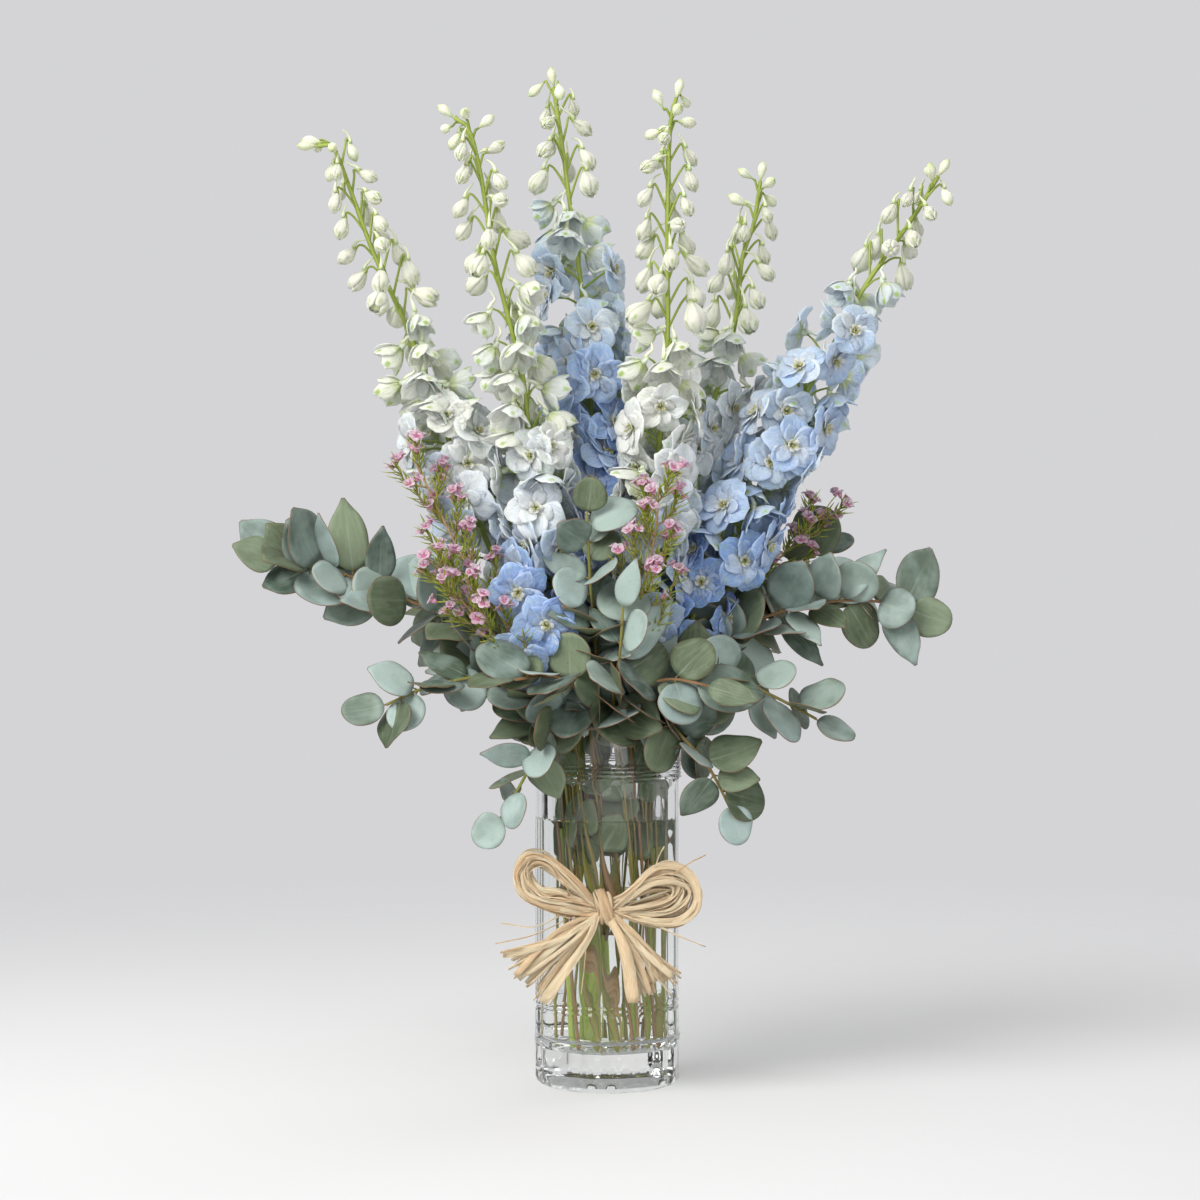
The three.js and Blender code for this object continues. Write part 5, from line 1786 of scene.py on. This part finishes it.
@dataclass
class RaffiaBow:
    """A bow of many thin raffia strips: a band round the vase, a knot, two loops and two fans of tails."""

    height: float = 129.0
    front: float = 61.0
    band_radius: float = 53.4
    loops: int = 46
    tails: int = 32
    broad_tail: tuple[int, int] = (1, 2)
    strays: tuple[tuple[Pair, Pair], ...] = (
        ((-28, -8), (-76, -24)), ((-30, -4), (-72, -10)), ((-14, -14), (-18, -58)), ((30, -10), (66, -26)),
        ((40, 20), (66, 36)), ((30, 22), (38, 42)), ((-26, 8), (-29, 18)), ((10, -16), (44, -60)),
        ((-20, -16), (-50, -62)))

    def ribbon(self, skin: Skin, points: Sequence[Vec], width: float, key: int, steps: int,
               twist: float = 1.0) -> None:
        """A thin folded strip along a curve, with a ragged end.

        Args:
            skin: The mesh that it is added to.
            points: What the curve passes.
            width: How wide it is.
            key: What sets it apart.
            steps: The rows made for each stretch between two points.
            twist: How much it turns about its curve.
        """
        line = np.array(curve_through(points, steps))
        ahead = np.gradient(line, axis=0)
        ahead /= np.linalg.norm(ahead, axis=1)[:, None]
        rows = len(line) - 1
        roll = [twist * (38 * math.sin(2.6 * k / rows * math.pi + 3 * toss(key, 1)) + 20 * toss(key, 2))
                for k in range(rows + 1)]
        sides = np.array([turned(square(np.cross(step, FRONT), step), step, turn)
                          for step, turn in zip(ahead, roll)])
        ups = np.cross(sides, ahead)
        swell = np.array([1 + 0.22 * math.sin(5.1 * k / rows + 4 * toss(key, 3)) for k in range(rows + 1)])
        swell[-1] *= 0.8
        fold = 0.3 + 0.25 * toss(key, 4)

        def surface(u: Row, v: Row) -> Vec:
            """Points across the strip."""
            ring = np.rint(v * rows).astype(int)
            half = width / 2 * swell[ring]
            return (line[ring] + (u * half)[:, None] * sides[ring]
                    + (fold * half * (np.abs(u) - 0.5))[:, None] * ups[ring])

        tone = 0.5 + 0.42 * toss(key, 5)
        skin.sheet(2, rows, surface, Finish.RAFFIA, (tone, 0.3 + 0.35 * toss(key, 6), 0.0), toss(key, 7))

    def width_of(self, key: int) -> float:
        """How wide a strip is: most are thin, a few are broad."""
        draw = 0.5 + 0.5 * toss(key, 16)
        return 1.0 + 1.1 * draw + 3.0 * draw**6

    def loop(self, skin: Skin, hand: int, k: int) -> None:
        """One strip of a loop.

        Args:
            skin: The mesh that it is added to.
            hand: -1 on the left, 1 on the right.
            k: Its number, from the outermost in.
        """
        key = LOOP_STRIPS + 60 * (hand + 1) + k
        share = k / (self.loops - 1)
        grow = mix(1.0, 0.5, share**1.1) + 0.07 * toss(key, 11)
        reach, tall = 1 - 0.32 * share + 0.05 * toss(key, 12), 1 - 0.8 * share + 0.1 * toss(key, 15)
        swing = 7 * toss(key, 19) * (1 if hand > 0 else 0.4)
        y = -self.front - 2 + mix(-4.5, 4.5, (k * 7 % self.loops) / self.loops)
        h = self.height
        start = vec(-2 + 4 * hand, -self.front + 3 * toss(key, 13), h + 4 * toss(key, 14))
        end = vec(-2 + 4 * hand, -self.front + 3 * toss(key, 17), h - 2 + 4 * toss(key, 18))
        outline = ((15, 12), (33, 27), (50, 29), (62, 16), (60, 1), (47, -9), (24, -9))
        if hand < 0:
            outline = ((-20, 16), (-39, 33), (-55, 35), (-63, 24), (-58, 9), (-44, 0), (-24, -4))
        path = [start]
        for step, (x, z) in enumerate(outline):
            if hand < 0:
                aside, high = mix(-42, x, grow), mix(21, z, grow)
            else:
                aside, high = x * reach, 0.17 * x + (z - 0.17 * x) * max(tall, 0.1)
            high += math.radians(swing) * aside
            path.append(vec(aside + 1.6 * toss(key, step, 1),
                            y + 1.6 * toss(key, step, 2) + 1.2 * min(step, 6 - step),
                            h + high + 1.6 * toss(key, step, 3)))
        self.ribbon(skin, [*path, end], self.width_of(key), key, 4)

    def tail(self, skin: Skin, hand: int, k: int) -> None:
        """One loose end of the bow.

        Args:
            skin: The mesh that it is added to.
            hand: -1 on the left, 1 on the right.
            k: Its number.
        """
        key = TAIL_STRIPS + 40 * (hand + 1) + k
        share = k / (self.tails - 1)
        y = -self.front - 3 + 2.5 * toss(key, 12)
        h = self.height
        start = vec(-2 + 3 * hand + 2 * toss(key, 17), y + 2, h - 3)
        bend, sag, ends, drop = (8, 27), 24, (14, 48), (63, 45)
        if hand < 0:
            bend, sag, ends, drop = (-35, -14), 19, (-70, -38), (35, 62)
        middle = vec(mix(*bend, share) + 3 * toss(key, 13), y - 3, h - sag + 4 * toss(key, 14))
        end = vec(mix(*ends, share) + 3 * toss(key, 19), y + 4 * toss(key, 15),
                  h - mix(*drop, share) + 6 * toss(key, 18))
        width = self.width_of(key) * 1.1
        if (hand, k) == self.broad_tail:
            width = 7.5
            middle, end = middle - UP * 2 - vec(0, 4, 0), vec(17, y - 5, h - 63)
        self.ribbon(skin, [start, middle, end], width, key, 8, 0.45)

    def band(self, skin: Skin, k: int) -> None:
        """One strand of the band round the vase."""
        key = BAND_STRANDS + k
        radius = self.band_radius + 0.55 * (k % 3) + 0.3
        z = self.height - 3.4 + 1.15 * k
        points = [level(20 * step - 90) * (radius + 0.25 * toss(key, step % 18, 1))
                  + UP * (z + 0.8 * toss(key, step % 18, 2)) for step in range(19)]
        skin.tube(curve_through(points, 3), [0.85] * 55, Finish.RAFFIA,
                  (0.3 + 0.3 * toss(key, 3), 0.5, 0.0), 5, 0.6)

    def build(self) -> None:
        """Makes the strips and the wound knot."""
        strips = Skin(Finish.RAFFIA, Finish.RAFFIA)
        for hand in (-1, 1):
            for k in range(self.loops):
                self.loop(strips, hand, k)
            for k in range(self.tails):
                self.tail(strips, hand, k)
        for k, ((x, z), (a, b)) in enumerate(self.strays):
            key = STRAY_STRIPS + k
            start = vec(x, -self.front - 2, self.height + z)
            end = vec(a, -self.front - 3 - 4 * abs(toss(key, 1)), self.height + b)
            bow = mix(start, end, 0.5) + vec(3 * toss(key, 2), -5, 5 * toss(key, 3))
            self.ribbon(strips, [start, bow, end], 0.9 + 0.3 * toss(key, 4), key, 6)
        wound = Skin(Finish.RAFFIA)
        for k in range(7):
            self.band(wound, k)
        for k in range(11):
            key = KNOT_STRANDS + k
            lean = -2.6 + 1.6 * toss(key, 1)
            x = -2 + mix(-5.0, 5.0, k / 10)
            bulge = 1.02 - 0.011 * (k - 5) ** 2
            ring = [vec(x + lean * math.sin(turn) + 0.8 * math.sin(2 * turn + k),
                        -self.front + 1 + 7.4 * math.cos(turn) * bulge,
                        self.height + 12 * math.sin(turn) * bulge)
                    for turn in np.linspace(0, math.tau, 13)]
            wound.tube(curve_through(ring, 2), [1.05 + 0.35 * toss(key, 2)] * 25, Finish.RAFFIA,
                       (0.35 + 0.4 * toss(key, 3), 0.5, 0.0), 6, 0.6)
        strips.piece("raffia_strips", "raffia_bow", 0.3)
        wound.piece("raffia_knot", "raffia_bow")


# ---- the bunch

SPIKES = (
    ("spike_1", (-30, 4), (398, 522), 20, 0.42, 0.08, 0.7, 0.4,
     [(-61, -3, 323), (-96, -5, 407), (-116, -5, 464), (-136, -6, 518), (-163, -10, 579),
      (-178, -12, 620), (-191, -14, 652), (-201, -15, 652)]),
    ("spike_2", (-20, -8), (342, 540), 75, 0.78, 0.06, 0.6, 0.42,
     [(-38, -30, 351), (-49, -36, 415), (-55, -40, 462), (-59, -42, 495), (-67, -45, 527),
      (-77, -50, 567), (-86, -53, 624), (-94, -55, 656), (-104, -55, 664)],
     ((348, -122, 1.8), (324, -102, 1.95), (306, -126, 2.5))),
    ("spike_3", (-6, 8), (398, 612), 130, 0.94, 0.28, 1.1, 0.82,
     [(-6, 12, 330), (-7, 12, 407), (-12, 15, 478), (-18, 18, 553), (-22, 20, 583),
      (-31, 22, 651), (-38, 22, 700)]),
    ("spike_4", (14, -6), (338, 515), 200, 0.6, 0.06, 0.6, 0.76,
     [(24, -16, 325), (31, -25, 392), (37, -32, 461), (41, -36, 515), (41, -38, 555),
      (41, -40, 607), (43, -40, 664), (47, -40, 680)]),
    ("spike_5", (20, 16), (334, 520), 250, 0.74, 0.14, 0.85, 0.84,
     [(31, 21, 320), (44, 28, 380), (66, 38, 451), (81, 42, 495), (92, 45, 538),
      (97, 48, 583), (105, 50, 606), (110, 50, 638)]),
    ("spike_6", (34, -4), (364, 556), 310, 0.72, 0.42, 1.0, 0.8,
     [(65, 0, 337), (99, 0, 400), (119, 2, 447), (154, 4, 508), (177, 5, 551), (190, 5, 571),
      (215, 5, 606), (232, 5, 634)]),
)

BRANCHES = (
    ("left", (-38, -8), (0.1, -0.9, 0.5), 0.4, 1.08,
     [(-62, -10, 285), (-98, -12, 318), (-137, -13, 336), (-172, -15, 351), (-208, -19, 362),
      (-226, -20, 364)]),
    ("left_low", (-34, -20), (-0.1, -0.7, 0.6), 0.34, 0.95,
     [(-52, -36, 268), (-82, -47, 284), (-122, -56, 278), (-150, -60, 266)]),
    ("droop_left", (-24, -30), (-0.4, -0.8, 0.3), 0.4, 0.85,
     [(-31, -49, 262), (-42, -62, 244), (-58, -66, 214), (-72, -60, 190)]),
    ("low_front_left", (-12, -36), (-0.2, -0.7, 0.7), 0.32, 1.05,
     [(-20, -58, 276), (-38, -80, 286), (-62, -92, 284)]),
    ("front", (4, -38), (0.1, -0.9, 0.4), 0.46, 1.0,
     [(4, -58, 272), (8, -78, 300), (10, -84, 332)]),
    ("sprig", (-6, -20), (0, -0.8, 0.5), 0.54, 0.85,
     [(-8, -42, 300), (-12, -62, 352), (-14, -70, 396)]),
    ("low_front_right", (15, -35), (0.3, -0.7, 0.6), 0.32, 1.05,
     [(24, -56, 276), (42, -78, 284), (66, -88, 280)]),
    ("droop_right", (26, -28), (0.4, -0.8, 0.3), 0.4, 0.9,
     [(35, -46, 262), (48, -58, 247), (67, -64, 226), (82, -60, 198)]),
    ("right_low", (34, -16), (0.3, -0.7, 0.6), 0.36, 1.0,
     [(52, -30, 272), (82, -44, 284), (116, -50, 270), (142, -50, 256)]),
    ("right", (38, 8), (0, -0.9, 0.5), 0.36, 1.05,
     [(68, 6, 296), (104, 8, 322), (150, 9, 335), (190, 10, 336), (212, 10, 331)]),
    ("upper_right", (32, 18), (0.3, -0.5, 0.7), 0.46, 1.0,
     [(73, 40, 318), (116, 54, 356), (152, 60, 374)]),
    ("back_right", (14, 34), (0.4, 0.6, 0.6), 0.38, 1.0,
     [(42, 66, 282), (76, 98, 302), (104, 124, 300)]),
    ("back", (2, 38), (-0.1, 0.8, 0.5), 0.38, 1.05,
     [(0, 66, 288), (-8, 104, 322), (-12, 138, 336)]),
    ("back_left", (-26, 26), (-0.5, 0.6, 0.6), 0.38, 1.05,
     [(-52, 54, 284), (-88, 84, 312), (-122, 104, 324)]),
)

SPRAYS = (
    ("left", (-14, -22), 0.35, 0.56,
     [(-48, -36, 296), (-78, -42, 330), (-100, -44, 368), (-118, -44, 404), (-132, -42, 432)]),
    ("left_low", (-26, -18), 0.4, 0.6,
     [(-58, -46, 294), (-86, -62, 322), (-104, -68, 344), (-116, -70, 362)]),
    ("centre", (8, -20), 0.4, 0.6,
     [(16, -52, 312), (24, -72, 346), (32, -80, 384), (34, -82, 412)]),
    ("right", (30, 6), 0.45, 0.72,
     [(62, 22, 306), (98, 28, 344), (134, 30, 378), (156, 32, 402)]),
)


class Bunch:
    """All that stands in the vase, placed in one order so that neighbours keep clear."""

    def __init__(self) -> None:
        """Makes the spikes, branches and sprays from their lists."""
        lists = ((Spike, SPIKES), (Branch, BRANCHES), (Spray, SPRAYS))
        self.plants: list[Plant] = [plant(name, k, *rest) for plant, rows in lists
                                    for k, (name, *rest) in enumerate(rows)]

    def build(self) -> None:
        """Places and makes every plant."""
        room = Room()
        for plant in self.plants:
            plant.plan(room)
        for plant in self.plants:
            plant.settle(room)
        for plant in self.plants:
            plant.fill_out(room)
        for plant in self.plants:
            plant.build()


# ---- studio

@dataclass
class Studio:
    """The pale floor that fades into an even surround, the lamps and the camera."""

    floor_radius: float = 6.0

    def add_floor(self) -> None:
        """Makes the floor as a disc of rings."""
        bm = bmesh.new()
        bmesh.ops.create_circle(bm, cap_ends=True, segments=96, radius=self.floor_radius)
        bmesh.ops.inset_individual(bm, faces=bm.faces[:], thickness=self.floor_radius * 0.7)
        finished(bm, "studio_floor", (Finish.FLOOR,))

    def add_lamp(self, name: str, place: Point, size: float, power: float, tone: Point) -> None:
        """A soft square lamp that looks at the middle of the bunch.

        Args:
            name: Its name.
            place: Where it stands, in metres.
            size: Its side, in metres.
            power: Its strength, in watts.
            tone: Its colour.
        """
        data = bpy.data.lights.new(name, "AREA")
        data.energy = power
        data.size = size
        data.color = tone
        lamp = linked(name, data)
        lamp.location = place
        lamp.rotation_euler = (Vector((0, 0, 0.35)) - Vector(place)).to_track_quat("-Z", "Y").to_euler()

    def add_camera(self) -> None:
        """A level camera at the height of the bunch's middle."""
        data = bpy.data.cameras.new("camera")
        data.lens = 78.9
        data.sensor_width = 36
        camera = linked("camera", data)
        camera.location = (-0.00525, -1.840, 0.337)
        camera.rotation_euler = (math.pi / 2, 0, 0)
        bpy.context.scene.camera = camera

    def build(self) -> None:
        """Sets the floor, the lamps, the air's light and the camera."""
        self.add_floor()
        self.add_lamp("key", (-1.4, -1.5, 1.8), 1.6, 64, (1.0, 0.99, 0.97))
        self.add_lamp("fill", (1.0, -2.4, 0.9), 1.8, 18, (0.98, 0.99, 1.0))
        self.add_lamp("rim", (1.2, 1.6, 1.9), 1.2, 10, (1.0, 1.0, 1.0))
        world = bpy.data.worlds.new("studio_air")
        world.use_nodes = True
        w = Wiring(world.node_tree)
        height = w.node("SeparateXYZ", {0: w.node("TexCoord").outputs["Generated"]}).outputs[2]
        above = w.spread(height, -0.5, 0.9, 0.34, 0.9)
        soft = w.node("LightPath").outputs["Is Diffuse Ray"]
        strength = w.plus(w.times(soft, w.math("SUBTRACT", above, 1.0)), 1.0)
        w.fill(world.node_tree.nodes["Background"], {"Color": rgb(212, 212, 214), "Strength": strength})
        bpy.context.scene.world = world
        bpy.context.scene.view_settings.view_transform = "Standard"
        self.add_camera()


def main() -> None:
    """Builds the arrangement and its studio."""
    for part in (Studio(), CutVase(), Water(), RaffiaBow(), Bunch()):
        part.build()
        LOG.info("%s built", type(part).__name__)


if __name__ == "__main__":
    main()
